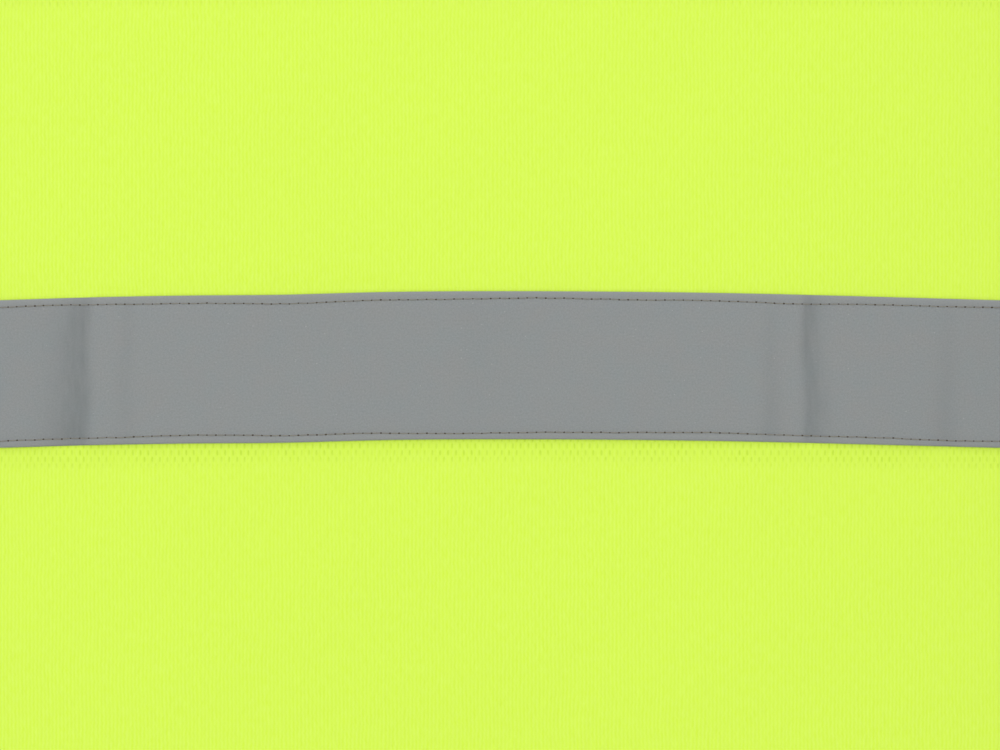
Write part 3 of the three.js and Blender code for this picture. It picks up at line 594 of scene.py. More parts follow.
def node(tree, kind, *inputs, out=0, **settings):
    """Adds a node and returns one of its outputs. inputs fill its sockets in order, and settings are its own
    settings or sockets by name. A second word in kind is what a Math node does, or what a Mix node mixes."""
    kind, _, sort = kind.partition(" ")
    made = tree.nodes.new("ShaderNode" + kind)
    if sort:
        setattr(made, "operation" if kind == "Math" else "data_type", sort)
    given = []
    for key, value in settings.items():
        if hasattr(made, key):
            setattr(made, key, value)
        else:
            given.append((made.inputs[key.replace("_", " ")], value))
    given += zip([socket for socket in made.inputs if socket.enabled], inputs)
    for socket, value in given:
        feed(tree, socket, value)
    shown = [socket for socket in made.outputs if socket.enabled]
    return shown[out] if out == 0 else made.outputs[out]


def new_finish(name):
    """A new material and its tree, with nothing but a Principled shader in it."""
    material = bpy.data.materials.new(name)
    material.use_nodes = True
    return material, material.node_tree


def set_finish(material, **sockets):
    """Feeds the Principled shader's sockets, by name, and returns the material."""
    tree = material.node_tree
    for key, value in sockets.items():
        feed(tree, tree.nodes["Principled BSDF"].inputs[key.replace("_", " ")], value)
    return material


# A painted glow for the fluorescent dye, which gives back as yellow green some of the light that it
# takes in as blue and ultraviolet. The glow shines the same in light and in shade, and lifts the shade.
FLUORESCENT_PAINTED_GLOW = {"Emission_Color": "#d6ff4a", "Emission_Strength": 0.07}


def fluorescent_knit():
    """Warp-knitted polyester, dyed fluorescent yellow: matt, with fine upright ribs of slightly slanting
    loops. The dye lifts the light so far that the ribs differ little in shade, and most in blue. Beside the
    tape the needle pulls the loops apart, and they show as small staggered dents. The colour is painted
    darker just below the tape and darker still in the dents: painted shade, where the knit turns down and
    into the dents.
    The dye's fluorescence is drawn as a painted glow, the same in light and in shade."""
    material, tree = new_finish("warp_knit_polyester_fluorescent_yellow")
    uv = node(tree, "UVMap", uv_map="cloth")
    across, down = node(tree, "SeparateXYZ", uv, out="X"), node(tree, "SeparateXYZ", uv, out="Y")
    drift = node(tree, "TexNoise", uv, Scale=0.05, Detail=2.0)
    place = node(
        tree, "Math ADD", across, node(tree, "Math MULTIPLY", node(tree, "Math SUBTRACT", drift, 0.5), 1.6)
    )
    turns = node(tree, "Math MULTIPLY", place, 2 * math.pi / WALE_PITCH)
    # Each rib is a row of loops a knitted course tall, which lean a little one way and then the other.
    lean = node(tree, "Math SINE", node(tree, "Math MULTIPLY", down, 2 * math.pi / COURSE_PITCH))
    loops = node(tree, "Math SINE", node(tree, "Math ADD", turns, node(tree, "Math MULTIPLY", lean, 0.35)))
    long_grain = node(tree, "Mapping", uv, Scale=(1.0, 0.28, 1.0))
    grain = node(tree, "TexNoise", long_grain, Scale=1.0, Detail=3.0, Roughness=0.7)
    broken = node(tree, "Math MULTIPLY", node(tree, "Math SUBTRACT", grain, 0.5), 3.0)
    rib = node(
        tree, "Math ADD", node(tree, "Math MULTIPLY", loops, 0.34), node(tree, "Math MULTIPLY", broken, 0.62)
    )
    level = node(tree, "Math ADD", node(tree, "Math MULTIPLY", rib, 0.5), 0.5, use_clamp=True)
    base = node(tree, "Mix RGBA", level, "#cbeb34", "#d7f36c")
    # A slow, faint painted shade, at random over the cloth, for the soft shading of shallow folds.
    cloud = node(tree, "TexNoise", uv, Scale=0.012, Detail=2.0)
    base = node(tree, "Mix RGBA", node(tree, "Math MULTIPLY", cloud, 0.3, use_clamp=True), base, "#d2ef54")
    # Painted shade just below each band, and a trace of it above, where the knit turns down from the tape.
    beside = node(tree, "Attribute", attribute_name="beside_tape", out="Fac")
    pairs = node(tree, "Math SINE", node(tree, "Math MULTIPLY", place, math.pi / WALE_PITCH))
    pairs = node(tree, "Math MULTIPLY", pairs, node(tree, "Math MULTIPLY", pairs, pairs))
    courses = node(tree, "Math SINE", node(tree, "Math MULTIPLY", down, math.pi / COURSE_PITCH))
    dots = node(
        tree,
        "Math MULTIPLY",
        node(tree, "Math SUBTRACT", node(tree, "Math MULTIPLY", pairs, courses), 0.06),
        1.8,
        use_clamp=True,
    )
    patchy = node(tree, "TexNoise", uv, Scale=0.11, Detail=2.0)
    patchy = node(tree, "Math MULTIPLY", node(tree, "Math SUBTRACT", patchy, 0.22), 2.4, use_clamp=True)
    dents_and_shade = node(tree, "Math MULTIPLY", node(tree, "Math MULTIPLY", dots, patchy), beside, use_clamp=True)
    # Painted shade: darker just below the bands, and darker still in the dents.
    base = node(tree, "Mix RGBA", node(tree, "Math MULTIPLY", beside, 0.3, use_clamp=True), base, "#cbe950")
    base = node(tree, "Mix RGBA", node(tree, "Math MULTIPLY", dents_and_shade, 0.48, use_clamp=True), base, "#a6cb1c")
    height = node(tree, "Math SUBTRACT", rib, node(tree, "Math MULTIPLY", dents_and_shade, 1.6))
    bump = node(tree, "Bump", Strength=0.25, Distance=0.12 * MM, Height=height)
    return set_finish(
        material,
        Base_Color=base,
        Normal=bump,
        Roughness=0.92,
        Specular_IOR_Level=0.15,
        Sheen_Weight=0.12,
        Sheen_Roughness=0.5,
        # Painted glow for the dye's fluorescence, the same in light and in shade.
        **FLUORESCENT_PAINTED_GLOW,
    )


def retroreflective_tape():
    """Glass beads on an aluminised film, bonded to woven polyester: an even satin grey with a fine grain of
    beads, warmer and cooler in slow patches, with a light speck here and there, and painted shade in its
    creases, where the bent bead coat sends back less light. The beads are drawn coarser than their 0.05 mm,
    so that their grain shows."""
    material, tree = new_finish("glass_bead_retroreflective_tape")
    uv = node(tree, "UVMap", uv_map="cloth")
    beads = node(tree, "TexNoise", uv, Scale=1.5, Detail=4.0, Roughness=0.9)
    beads = node(
        tree,
        "Math ADD",
        node(tree, "Math MULTIPLY", node(tree, "Math SUBTRACT", beads, 0.5), 2.6),
        0.5,
        use_clamp=True,
    )
    mottle = node(tree, "TexNoise", uv, Scale=0.09, Detail=4.0, Roughness=0.65)
    patch = node(
        tree,
        "Math ADD",
        node(tree, "Math MULTIPLY", node(tree, "Math SUBTRACT", mottle, 0.5), 2.0),
        0.5,
        use_clamp=True,
    )
    cool = node(tree, "Mix RGBA", beads, "#7f8587", "#919698")
    warm = node(tree, "Mix RGBA", beads, "#838485", "#959696")
    base = node(tree, "Mix RGBA", patch, cool, warm)
    specks = node(tree, "TexVoronoi", uv, Scale=0.22, Randomness=1.0)
    base = node(
        tree,
        "Mix RGBA",
        node(tree, "Math MULTIPLY", node(tree, "Math LESS_THAN", specks, 0.05), 0.35),
        base,
        "#b2b3b2",
    )
    # Painted shade in the creases, in streaks: the crease depth darkens the colour.
    crease = node(tree, "Attribute", attribute_name="crease", out="Fac")
    streak = node(tree, "Mapping", uv, Scale=(1.0, 0.22, 1.0), Rotation=(0.0, 0.0, 0.12))
    streak = node(tree, "TexNoise", streak, Scale=0.5, Detail=3.0, Roughness=0.6)
    streak = node(tree, "Math ADD", node(tree, "Math MULTIPLY", streak, 0.8), 0.3)
    base = node(
        tree,
        "Mix RGBA",
        node(tree, "Math MULTIPLY", crease, node(tree, "Math MULTIPLY", streak, 0.75), use_clamp=True),
        base,
        "#6b7072",
    )
    margin = node(tree, "Attribute", attribute_name="margin", out="Fac")
    base = node(tree, "Mix RGBA", node(tree, "Math MULTIPLY", margin, 0.3, use_clamp=True), base, "#929493")
    bump = node(tree, "Bump", Strength=0.12, Distance=0.05 * MM, Height=beads)
    return set_finish(material, Base_Color=base, Normal=bump, Roughness=0.62, Specular_IOR_Level=0.25)


def ribbon(name, light, dark, pitch):
    """Woven polyester ribbon: fine cross ribs, a little glossier than the knit."""
    material, tree = new_finish(name)
    uv = node(tree, "UVMap", uv_map="cloth")
    ribs = node(
        tree,
        "Math SINE",
        node(tree, "Math MULTIPLY", node(tree, "SeparateXYZ", uv, out="X"), 2 * math.pi / pitch),
    )
    threads = node(
        tree,
        "Math SINE",
        node(tree, "Math MULTIPLY", node(tree, "SeparateXYZ", uv, out="Y"), 2 * math.pi / (pitch * 0.6)),
    )
    weave = node(
        tree, "Math ADD", node(tree, "Math MULTIPLY", ribs, 0.6), node(tree, "Math MULTIPLY", threads, 0.4)
    )
    grain = node(tree, "TexNoise", uv, Scale=0.6, Detail=3.0)
    level = node(tree, "Math ADD", node(tree, "Math MULTIPLY", weave, 0.25), grain, use_clamp=True)
    bump = node(tree, "Bump", Strength=0.35, Distance=0.12 * MM, Height=weave)
    return set_finish(
        material,
        Base_Color=node(tree, "Mix RGBA", level, dark, light),
        Normal=bump,
        Roughness=0.7,
        Specular_IOR_Level=0.3,
        Sheen_Weight=0.1,
    )


def spun_thread(name, light, dark):
    """Spun polyester sewing thread, twisted from two plies, slightly fuzzy."""
    material, tree = new_finish(name)
    place = node(tree, "TexCoord", out="Object")
    twist = node(tree, "TexWave", place, Scale=900.0, Distortion=1.5, Detail=2.0, out="Fac")
    return set_finish(
        material,
        Base_Color=node(tree, "Mix RGBA", twist, dark, light),
        Roughness=0.85,
        Specular_IOR_Level=0.2,
    )


def needle_hole_finish():
    """The shadow inside a needle hole, with a rim of torn film: dark brown-grey."""
    material, tree = new_finish("needle_hole_shadow")
    place = node(tree, "TexCoord", out="Object")
    rough = node(tree, "TexNoise", place, Scale=4000.0, Detail=2.0)
    return set_finish(
        material,
        Base_Color=node(tree, "Mix RGBA", rough, "#4a4239", "#5e564c"),
        Roughness=0.95,
        Specular_IOR_Level=0.05,
    )


def acetal(name, light, dark):
    """Moulded acetal, dark grey: smooth, a little waxy, with a faint flow pattern and paler, worn edges."""
    material, tree = new_finish(name)
    place = node(tree, "TexCoord", out="Object")
    flow = node(tree, "TexNoise", place, Scale=350.0, Detail=4.0, Distortion=0.6)
    edge = node(tree, "NewGeometry", out="Pointiness")
    worn = node(tree, "Math MULTIPLY", node(tree, "Math SUBTRACT", edge, 0.53), 6.0, use_clamp=True)
    base = node(tree, "Mix RGBA", worn, node(tree, "Mix RGBA", flow, dark, light), "#63676a")
    bump = node(tree, "Bump", Strength=0.15, Distance=0.05 * MM, Height=flow)
    return set_finish(
        material,
        Base_Color=base,
        Roughness=node(tree, "Math ADD", node(tree, "Math MULTIPLY", flow, 0.2), 0.34),
        Normal=bump,
    )


def nickel_plated_zinc():
    """Die-cast zinc, tumbled and nickel plated: a warm silver gloss with small soft scratches."""
    material, tree = new_finish("nickel_plated_zinc_casting")
    place = node(tree, "TexCoord", out="Object")
    along = node(tree, "Mapping", place, Scale=(1.0, 1.0, 0.12))
    scratch = node(tree, "TexNoise", along, Scale=1800.0, Detail=5.0, Roughness=0.7)
    cloud = node(tree, "TexNoise", place, Scale=220.0, Detail=3.0)
    bump = node(tree, "Bump", Strength=0.12, Distance=0.03 * MM, Height=scratch)
    return set_finish(
        material,
        Base_Color=node(tree, "Mix RGBA", cloud, "#a09f9c", "#bab8b4"),
        Roughness=node(tree, "Math ADD", node(tree, "Math MULTIPLY", scratch, 0.28), 0.18),
        Normal=bump,
        Metallic=1.0,
    )


def looped_nylon():
    """Nylon hook-and-loop tape: a matt tangle of fine loops that catches the light in specks."""
    material, tree = new_finish("nylon_hook_and_loop_tape")
    place = node(tree, "TexCoord", out="Object")
    tangle = node(tree, "TexNoise", place, Scale=2600.0, Detail=4.0, Distortion=2.2)
    spread_out = node(
        tree,
        "Math ADD",
        node(tree, "Math MULTIPLY", node(tree, "Math SUBTRACT", tangle, 0.5), 2.4),
        0.5,
        use_clamp=True,
    )
    bump = node(tree, "Bump", Strength=0.4, Distance=0.2 * MM, Height=tangle)
    return set_finish(
        material,
        Base_Color=node(tree, "Mix RGBA", spread_out, "#c0e436", "#def86a"),
        Normal=bump,
        Roughness=0.88,
        Sheen_Weight=0.1,
        # Painted glow for the dye's fluorescence, the same in light and in shade.
        **FLUORESCENT_PAINTED_GLOW,
    )


def label_satin():
    """White satin-weave polyester, blank: a soft sheen and long fine floats across it."""
    material, tree = new_finish("white_satin_label_cloth")
    uv = node(tree, "UVMap", uv_map="cloth")
    floats = node(tree, "Mapping", uv, Scale=(0.25, 3.2, 1.0))
    weave = node(tree, "TexNoise", floats, Scale=2.0, Detail=3.0)
    bump = node(tree, "Bump", Strength=0.3, Distance=0.08 * MM, Height=weave)
    return set_finish(
        material,
        Base_Color=node(tree, "Mix RGBA", weave, "#dedfdb", "#f6f6f3"),
        Normal=bump,
        Roughness=0.45,
        Sheen_Weight=0.2,
    )


KNIT = fluorescent_knit()
TAPE = retroreflective_tape()
BINDING = ribbon("woven_polyester_binding", "#dbfa58", "#cbee42", 0.9)
GREY_THREAD = spun_thread("spun_polyester_thread_grey", "#94918a", "#737067")
YELLOW_THREAD = spun_thread("spun_polyester_thread_yellow", "#d9f75a", "#b9db3c")
WHITE_THREAD = spun_thread("spun_polyester_thread_white", "#eeeeea", "#d2d2cc")
NEEDLE_HOLE = needle_hole_finish()
ZIP_CLOTH = ribbon("woven_polyester_zip_tape", "#d3f052", "#b5d733", 0.7)
MOULDING = acetal("moulded_acetal_dark_grey", "#3f4346", "#303437")
NICKEL = nickel_plated_zinc()
HOOK_AND_LOOP = looped_nylon()
LABEL_SATIN = label_satin()


def finish_piece(piece, material, slot, *nodes):
    """Gives a piece its material, and hides the frame's nodes that it stands for. slot is not used."""
    piece.data.materials.clear()
    piece.data.materials.append(material)
    if nodes:
        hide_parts(*nodes)
    return piece


# ---- Front pieces -----------------------------------------------------------------------------------------



def bend_front(piece, hand):
    """Bakes a front piece's placement into its mesh. hand is not used."""
    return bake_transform(piece)


# ---- Cloth areas and lengths ------------------------------------------------------------------------------


def cut_area(piece):
    """The flat area of a closed sheet's cut, which is half of its surface, in square metres."""
    return sum(p.area for p in piece.data.polygons) / 2


def length_down(s, g_from, g_to):
    """How long the draped cloth is down one upright line, in millimetres."""
    points = [placed(s, g)[0] for g in spread(g_from, g_to, 4)]
    return sum((b - a).length for a, b in zip(points, points[1:]))


def declare(piece, width, length):
    """Works out a sheet's cut area from a width and a length in millimetres, and keeps nothing of it."""
    area = min(cut_area(piece), width * length * MM * MM)


# ---- Knitted panels ---------------------------------------------------------------------------------------

FINE_ROW = 1.8
COARSE_ROW = 4.2
COLUMN = 3.2
HANDS = {"left": 1, "right": -1}


def panel_levels():
    """Distances down the cloth at which a panel's rows lie. They are closer together beside the lower band,
    and where the foot of the armhole turns level."""
    top, bottom = LOWER_BAND_CLOTH - TAPE_WIDTH / 2, LOWER_BAND_CLOTH + TAPE_WIDTH / 2
    turn, count = 26, 16
    foot = [ARMHOLE_DROP - turn * (i / count) ** ARMHOLE_CURVE for i in range(count, 0, -1)]
    return spread(0.0, ARMHOLE_DROP - turn, COARSE_ROW)[:-1] + foot + join_spreads(
        (ARMHOLE_DROP, top - 12, COARSE_ROW),
        (top - 12, top + 4, FINE_ROW),
        (top + 4, bottom - 4, COARSE_ROW),
        (bottom - 4, bottom + 18, FINE_ROW),
        (bottom + 18, HEM, COARSE_ROW),
    )


def beside_tape(s, g):
    """1 just below a band and a trace above it: the painted shade there, and the needle's dents."""
    middle = abs(g) - arch(s, g)
    worst = 0.0
    for band in BANDS:
        under, over = middle - band - TAPE_WIDTH / 2, band - TAPE_WIDTH / 2 - middle
        if under > -3:
            worst = max(worst, 1 - smooth(4.5, 9.5, under))
        if over > -3:
            worst = max(worst, 0.10 * (1 - smooth(0, 7, over)))
    return worst


def back_panel():
    shares = spread(-1.0, 1.0, COLUMN / SIDE)
    rows = []
    for level in panel_levels():
        above = max(0.0, 1 - level / ARMHOLE_DROP)
        reach = armhole(level)
        rows.append([(f * reach, level + above * back_neck(f * SHOULDER_TIP) + 1e-4) for f in shares])
    panel = cloth_sheet("knit_back_panel", rows, KNIT_LAYER, knit_point, {"beside_tape": beside_tape})
    finish_piece(panel, KNIT, "knit_polyester", "back_panel")
    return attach(panel, "body")


def front_panel(hand, mirror):
    shares = spread(0.0, 1.0, COLUMN * 1.25 / (SIDE - FRONT_EDGE))
    rows = []
    for level in panel_levels():
        first, last = front_neck(level), armhole(level)
        rows.append([(mirror * (first + (last - first) * f), -level - 1e-4) for f in shares])
    panel = cloth_sheet(
        f"knit_{hand}_front", rows, KNIT_LAYER, knit_point, {"beside_tape": beside_tape}, -mirror
    )
    finish_piece(panel, KNIT, "knit_polyester", f"{hand}_front_side", f"{hand}_front_edge")
    return bend_front(panel, hand)


def seam_allowance(name, rows, hand):
    """The two raw edges of a seam, laid over together inside the vest and overlocked."""
    strip = cloth_sheet(name, rows, (-1.25, -0.45), on_cloth, {"beside_tape": lambda s, g: 0.0}, hand)
    strip.data.materials.append(KNIT)
    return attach(strip, "body")


def overlock(name, lines):
    """Overlock stitches over the raw edges of a seam: a zigzag of thread from the seam to the edge."""
    sewing = Sewing(name, YELLOW_THREAD, holes=False)
    for seam, edge in lines:
        seam, edge = walk(seam, 4.0), walk(edge, 4.0)
        count = min(len(seam), len(edge))
        spots = []
        for i in range(count):
            for s, g in (seam[i], edge[i]):
                point, out = placed(s, g)
                spots.append((point - out * 1.32, -out))
        sewing.along(spots)
    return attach(sewing.finished(), "body")


ALLOWANCE = 7


def seams():
    """The side and shoulder seams, seen from inside."""
    pieces, lines = [], []
    for hand, mirror in HANDS.items():
        levels = spread(ARMHOLE_DROP + BINDING_REACH, HEM - BINDING_REACH, 5)
        rows = [[(mirror * (SIDE - 0.6 - ALLOWANCE * f), g) for f in (0, 0.5, 1)] for g in levels]
        pieces.append(seam_allowance(f"{hand}_side_seam", rows, -mirror))
        lines.append(
            [[(mirror * (SIDE - 1.2), g) for g in levels], [(mirror * (SIDE - ALLOWANCE), g) for g in levels]]
        )
        across = spread(NECK_POINT + BINDING_REACH + 0.5, SHOULDER_TIP - BINDING_REACH - 0.5, 4)
        rows = [[(mirror * s, 0.6 + ALLOWANCE * f) for s in across] for f in (0, 0.5, 1)]
        pieces.append(seam_allowance(f"{hand}_shoulder_seam", rows, mirror))
        lines.append([[(mirror * s, 1.2) for s in across], [(mirror * s, ALLOWANCE) for s in across]])
    return pieces + [overlock("seam_overlock", lines)]


# ---- Reflective tape --------------------------------------------------------------------------------------

# Creases across the back's lower band, from having been folded: place along the band, lean, half width on the
# side towards larger s and on the other side, depth at the top and at the bottom.
CREASES = (
    (141.4, 0.035, 9.4, 2.6, 0.85, 1.1),
    (126.5, 0.010, 3.4, 3.0, 0.20, 0.20),
    (-104.0, -0.015, 1.8, 5.6, 0.85, 0.80),
    (-91.5, 0.010, 3.2, 3.4, 0.10, 0.42),
    (-151.5, -0.010, 4.0, 3.6, 0.08, 0.34),
    (155.0, 0.0, 9.0, 6.0, 0.10, 0.05),
    (10.0, 0.0, 3.0, 12.0, 0.08, 0.03),
)


def crease_at(s, across):
    """Depth from 0 to 1 of the creases at a place on the band. across runs down from its middle."""
    total, low = 0.0, across / TAPE_WIDTH + 0.5
    for place, lean, above, below, at_top, at_bottom in CREASES:
        off = s - (place + lean * across + 0.5 * math.sin(0.16 * across + place))
        width = (above if off > 0 else below) * (0.82 + 0.3 * low)
        total += (at_top + (at_bottom - at_top) * low) * math.exp(-((off / width) ** 2))
    return min(1.0, total)


def sewn_wander(s):
    """How far the back's lower band was sewn below its line."""
    swings = ((0.5, 74, 26), (-0.12, 140, 20), (-0.1, -80, 40))
    return sum(size * math.exp(-(((s - middle) / width) ** 2)) for size, middle, width in swings)


def tape_levels(step):
    """Distances across a tape from its middle, closer together near its edges."""
    half, fine = TAPE_WIDTH / 2, STITCH_LINE - 0.9
    return join_spreads((-half, -fine, 0.6), (-fine, fine, step), (fine, half, 0.6))


def tape_margin(across):
    """1 outside the row of stitches, and 0 between the rows."""
    return smooth(STITCH_LINE - 0.6, STITCH_LINE + 0.4, abs(across))


def tape_dip(across, pulled):
    """How far a tape sinks towards its edges, and where its stitches pull it down."""
    curl = smooth(TAPE_WIDTH / 2 - 1.4, TAPE_WIDTH / 2, abs(across))
    return 0.16 * curl + pulled * math.exp(-(((abs(across) - STITCH_LINE) / 0.8) ** 2))


class Band:
    """One length of tape round part of the vest, and the two rows of stitches along it."""

    def __init__(self, name, columns, middle, direction, step, creased=False):
        self.name, self.columns, self.middle, self.direction = name, columns, middle, direction
        self.step, self.creased = step, creased

    def place(self, s, across):
        wander = sewn_wander(s) if self.creased else 0.0
        return s, self.direction * (self.middle + arch(s, self.direction) + wander + across)

    def across(self, s, g):
        wander = sewn_wander(s) if self.creased else 0.0
        return abs(g) - self.middle - arch(s, self.direction) - wander

    def crease(self, s, g):
        return crease_at(s, self.across(s, g)) if self.creased else 0.0

    def margin(self, s, g):
        return tape_margin(self.across(s, g))

    def surface(self, s, g, height):
        across = self.across(s, g)
        over = 0.0
        if self.middle == UPPER_BAND_CLOTH:
            beside = abs(abs(s) - BRACE_CENTRE) - TAPE_WIDTH / 2
            down = across + TAPE_WIDTH / 2
            over = 0.42 * (1 - smooth(0.2, 2.6, beside)) * (1 - smooth(TUCKED_UNDER, TUCKED_UNDER + 4, down))
        return on_cloth(s, g, height + over - 0.35 * self.crease(s, g) - tape_dip(across, 0.12))

    def tape(self, hand):
        rows = [[self.place(s, across) for s in self.columns] for across in tape_levels(self.step)]
        looks = {"crease": self.crease, "margin": self.margin}
        return cloth_sheet(self.name, rows, TAPE_LAYER, self.surface, looks, hand)

    def sew(self, sewing):
        for end in (-1, 1):
            line = end * STITCH_LINE
            slack = 0.25 if end < 0 else 0.0
            places = []
            for s in self.columns:
                drift = 0.28 * math.sin(0.037 * s + end) + 0.12 * math.sin(0.11 * s) + slack
                places.append(self.place(s, line + drift))
            sewing.row(places, TAPE_LAYER[1], 1, self.surface)


def back_bands():
    for name, middle in (("lower", LOWER_BAND_CLOTH), ("upper", UPPER_BAND_CLOTH)):
        fine = name == "lower"
        band = Band(
            f"tape_back_{name}", spread(0.3 - SIDE, SIDE - 0.3, 1.3 if fine else 3.0), middle, 1, 2.0, fine
        )
        tape = band.tape(1)
        finish_piece(tape, TAPE, "reflective_tape", f"back_{name}_tape")
        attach(tape, "body")
        sewing = Sewing(f"stitching_back_{name}_tape", GREY_THREAD)
        band.sew(sewing)
        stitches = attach(sewing.finished(), "body")
        declare(tape, 2 * SIDE, TAPE_WIDTH)


def front_bands(hand, mirror):
    for name, middle in (("lower", LOWER_BAND_CLOTH), ("upper", UPPER_BAND_CLOTH)):
        columns = [mirror * s for s in spread(FRONT_EDGE + TAPE_TURN_IN, SIDE - 0.3, 2.6)]
        band = Band(f"tape_{hand}_front_{name}", columns, middle, -1, 3.0)
        tape = band.tape(-mirror)
        finish_piece(tape, TAPE, "reflective_tape", f"{hand}_{name}_tape_side", f"{hand}_{name}_tape_edge")
        bend_front(tape, hand)
        sewing = Sewing(f"stitching_{hand}_front_{name}_tape", GREY_THREAD)
        band.sew(sewing)
        stitches = bend_front(sewing.finished(), hand)
        declare(
            tape,
            SIDE - FRONT_EDGE - TAPE_TURN_IN,
            TAPE_WIDTH,
        )


TUCKED_UNDER = 4  # how far the shoulder tape's ends go in under the bands


def shoulder_tape(hand, mirror):
    """The tape from the back's upper band, over the shoulder, to the front's, tucked in under both."""
    top = UPPER_BAND_CLOTH - TAPE_WIDTH / 2 + TUCKED_UNDER
    ends = (-(top + BAND_ARCH), top + band_drop(BRACE_CENTRE))
    looks = {"crease": lambda s, g: 0.0, "margin": lambda s, g: tape_margin(abs(s) - BRACE_CENTRE)}

    def surface(s, g, height):
        end = min(g - ends[0], ends[1] - g)
        raised = 0.1 * smooth(TUCKED_UNDER + 2, TUCKED_UNDER + 8, end)
        return on_cloth(s, g, height + raised - tape_dip(abs(s) - BRACE_CENTRE, 0.1))

    rows = [[(mirror * (BRACE_CENTRE + off), g) for off in tape_levels(3.0)] for g in spread(*ends, 2.6)]
    tape = cloth_sheet(f"tape_{hand}_shoulder", rows, TAPE_LAYER, surface, looks, mirror)
    swap_uv(tape)
    finish_piece(tape, TAPE, "reflective_tape", f"{hand}_shoulder_tape")
    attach(tape, "body")
    sewing = Sewing(f"stitching_{hand}_shoulder_tape", GREY_THREAD)
    for end in (-1, 1):
        levels = spread(ends[0] + TUCKED_UNDER + 1, ends[1] - TUCKED_UNDER - 1, 4)
        sewing.row(
            [(mirror * (BRACE_CENTRE + end * STITCH_LINE), g) for g in levels], TAPE_LAYER[1], 1, surface
        )
    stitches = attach(sewing.finished(), "body")
    length = length_down(mirror * BRACE_CENTRE, *ends)
    declare(tape, TAPE_WIDTH, length)


def swap_uv(piece):
    """Turns a piece's pattern a quarter, so that it runs along the piece."""
    for corner in piece.data.uv_layers["cloth"].data:
        corner.uv = (corner.uv[1], corner.uv[0])


# ---- Bindings ---------------------------------------------------------------------------------------------

SEWN_IN = 8.2  # from the bound edge in to the row of stitches


def sewn_binding(name, edge, side, nodes, settle, closed=False):
    """A binding with a row of stitches along it, outside and inside. settle places each piece: on its body,
    or baked where it lies, for a front.
    """
    ribbon_piece, edge, inner = binding(name, edge, side, closed)
    finish_piece(ribbon_piece, BINDING, "woven_binding", *nodes)
    settle(ribbon_piece)
    line = between(edge, inner, SEWN_IN)
    if closed:
        line.append(line[0])
    sewing = Sewing(f"stitching_{name}", YELLOW_THREAD, holes=False)
    sewing.row(line, 1.02)
    sewing.row(line, 1.02, -1)
    return ribbon_piece, settle(sewing.finished())


def on_body(piece):
    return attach(piece, "body")


def on_front(hand):
    return lambda piece: bend_front(piece, hand)


def dense(curve, count=900, ease=1.0):
    """Places along a curve of g from 0 to 1, packed towards its end."""
    return [curve(1 - (1 - i / count) ** ease) for i in range(count + 1)]


def bindings():
    made = []
    for hand, mirror in HANDS.items():
        down = dense(lambda t: (mirror * armhole(t * ARMHOLE_DROP), t * ARMHOLE_DROP), 900, 2.6)
        up = [(s, -g) for s, g in reversed(down)]
        up = up[1:-1]
        loop = [(s, g + 1e-4) for s, g in down] + up + [(down[0][0], down[0][1] + 1e-4)]
        made.append(
            sewn_binding(f"{hand}_armhole_edge", loop, mirror, [f"{hand}_armhole_binding"], on_body, True)
        )
        neck = dense(lambda t: (mirror * front_neck(t * FRONT_NECK_DROP), -t * FRONT_NECK_DROP - 1e-4), 400)
        made.append(
            sewn_binding(f"{hand}_neck_edge", neck, mirror, [f"{hand}_neck_binding_edge"], on_front(hand))
        )
        hem = [(mirror * s, -HEM) for s in spread(FRONT_EDGE + 0.5, SIDE, 3)]
        made.append(
            sewn_binding(f"{hand}_hem_edge", hem, mirror, [f"{hand}_hem_binding_edge"], on_front(hand))
        )
    half = [
        (
            NECK_POINT * math.cos(math.pi * i / 600), BACK_NECK_DROP * math.sin(math.pi * i / 600) + 1e-4
        ) for i in range(601)
    ]
    made.append(sewn_binding("back_neck_edge", half, -1, ["neck_binding"], on_body))
    hem = [(s, HEM) for s in spread(-SIDE, SIDE, 3)]
    made.append(sewn_binding("back_hem_edge", hem, -1, ["hem_binding"], on_body))
    return made


# ---- Shaping small hard parts -----------------------------------------------------------------------------


def block(name, low, high):
    """A block between two corners in millimetres, to be shaped."""
    bpy.ops.object.select_all(action="DESELECT")
    middle = [(a + b) / 2 * MM for a, b in zip(low, high)]
    bpy.ops.mesh.primitive_cube_add(size=1, location=middle)
    piece = bpy.context.object
    piece.name = piece.data.name = name
    piece.scale = [(b - a) * MM for a, b in zip(low, high)]
    bpy.ops.object.transform_apply(location=True, rotation=False, scale=True)
    return piece


def pick_piece(piece):
    """Selects one piece and nothing else."""
    bpy.ops.object.select_all(action="DESELECT")
    bpy.context.view_layer.objects.active = piece
    piece.select_set(True)


def pick_faces(piece, test):
    """Selects the faces that pass a test of their middle, in millimetres, and normal, and opens edit mode."""
    pick_piece(piece)
    bpy.ops.object.mode_set(mode="EDIT")
    bpy.ops.mesh.select_mode(type="FACE")
    bpy.ops.mesh.select_all(action="DESELECT")
    bpy.ops.object.mode_set(mode="OBJECT")
    for polygon in piece.data.polygons:
        polygon.select = bool(test(polygon.center / MM, polygon.normal))
    bpy.ops.object.mode_set(mode="EDIT")


def draw_out(distance, narrow):
    """Extrudes the picked faces and narrows their end, as [x, y, z] shares."""
    bpy.ops.mesh.extrude_region_move(TRANSFORM_OT_translate={"value": [d * MM for d in distance]})
    bpy.ops.transform.resize(value=narrow)


def close_edit():
    bpy.ops.object.mode_set(mode="OBJECT")


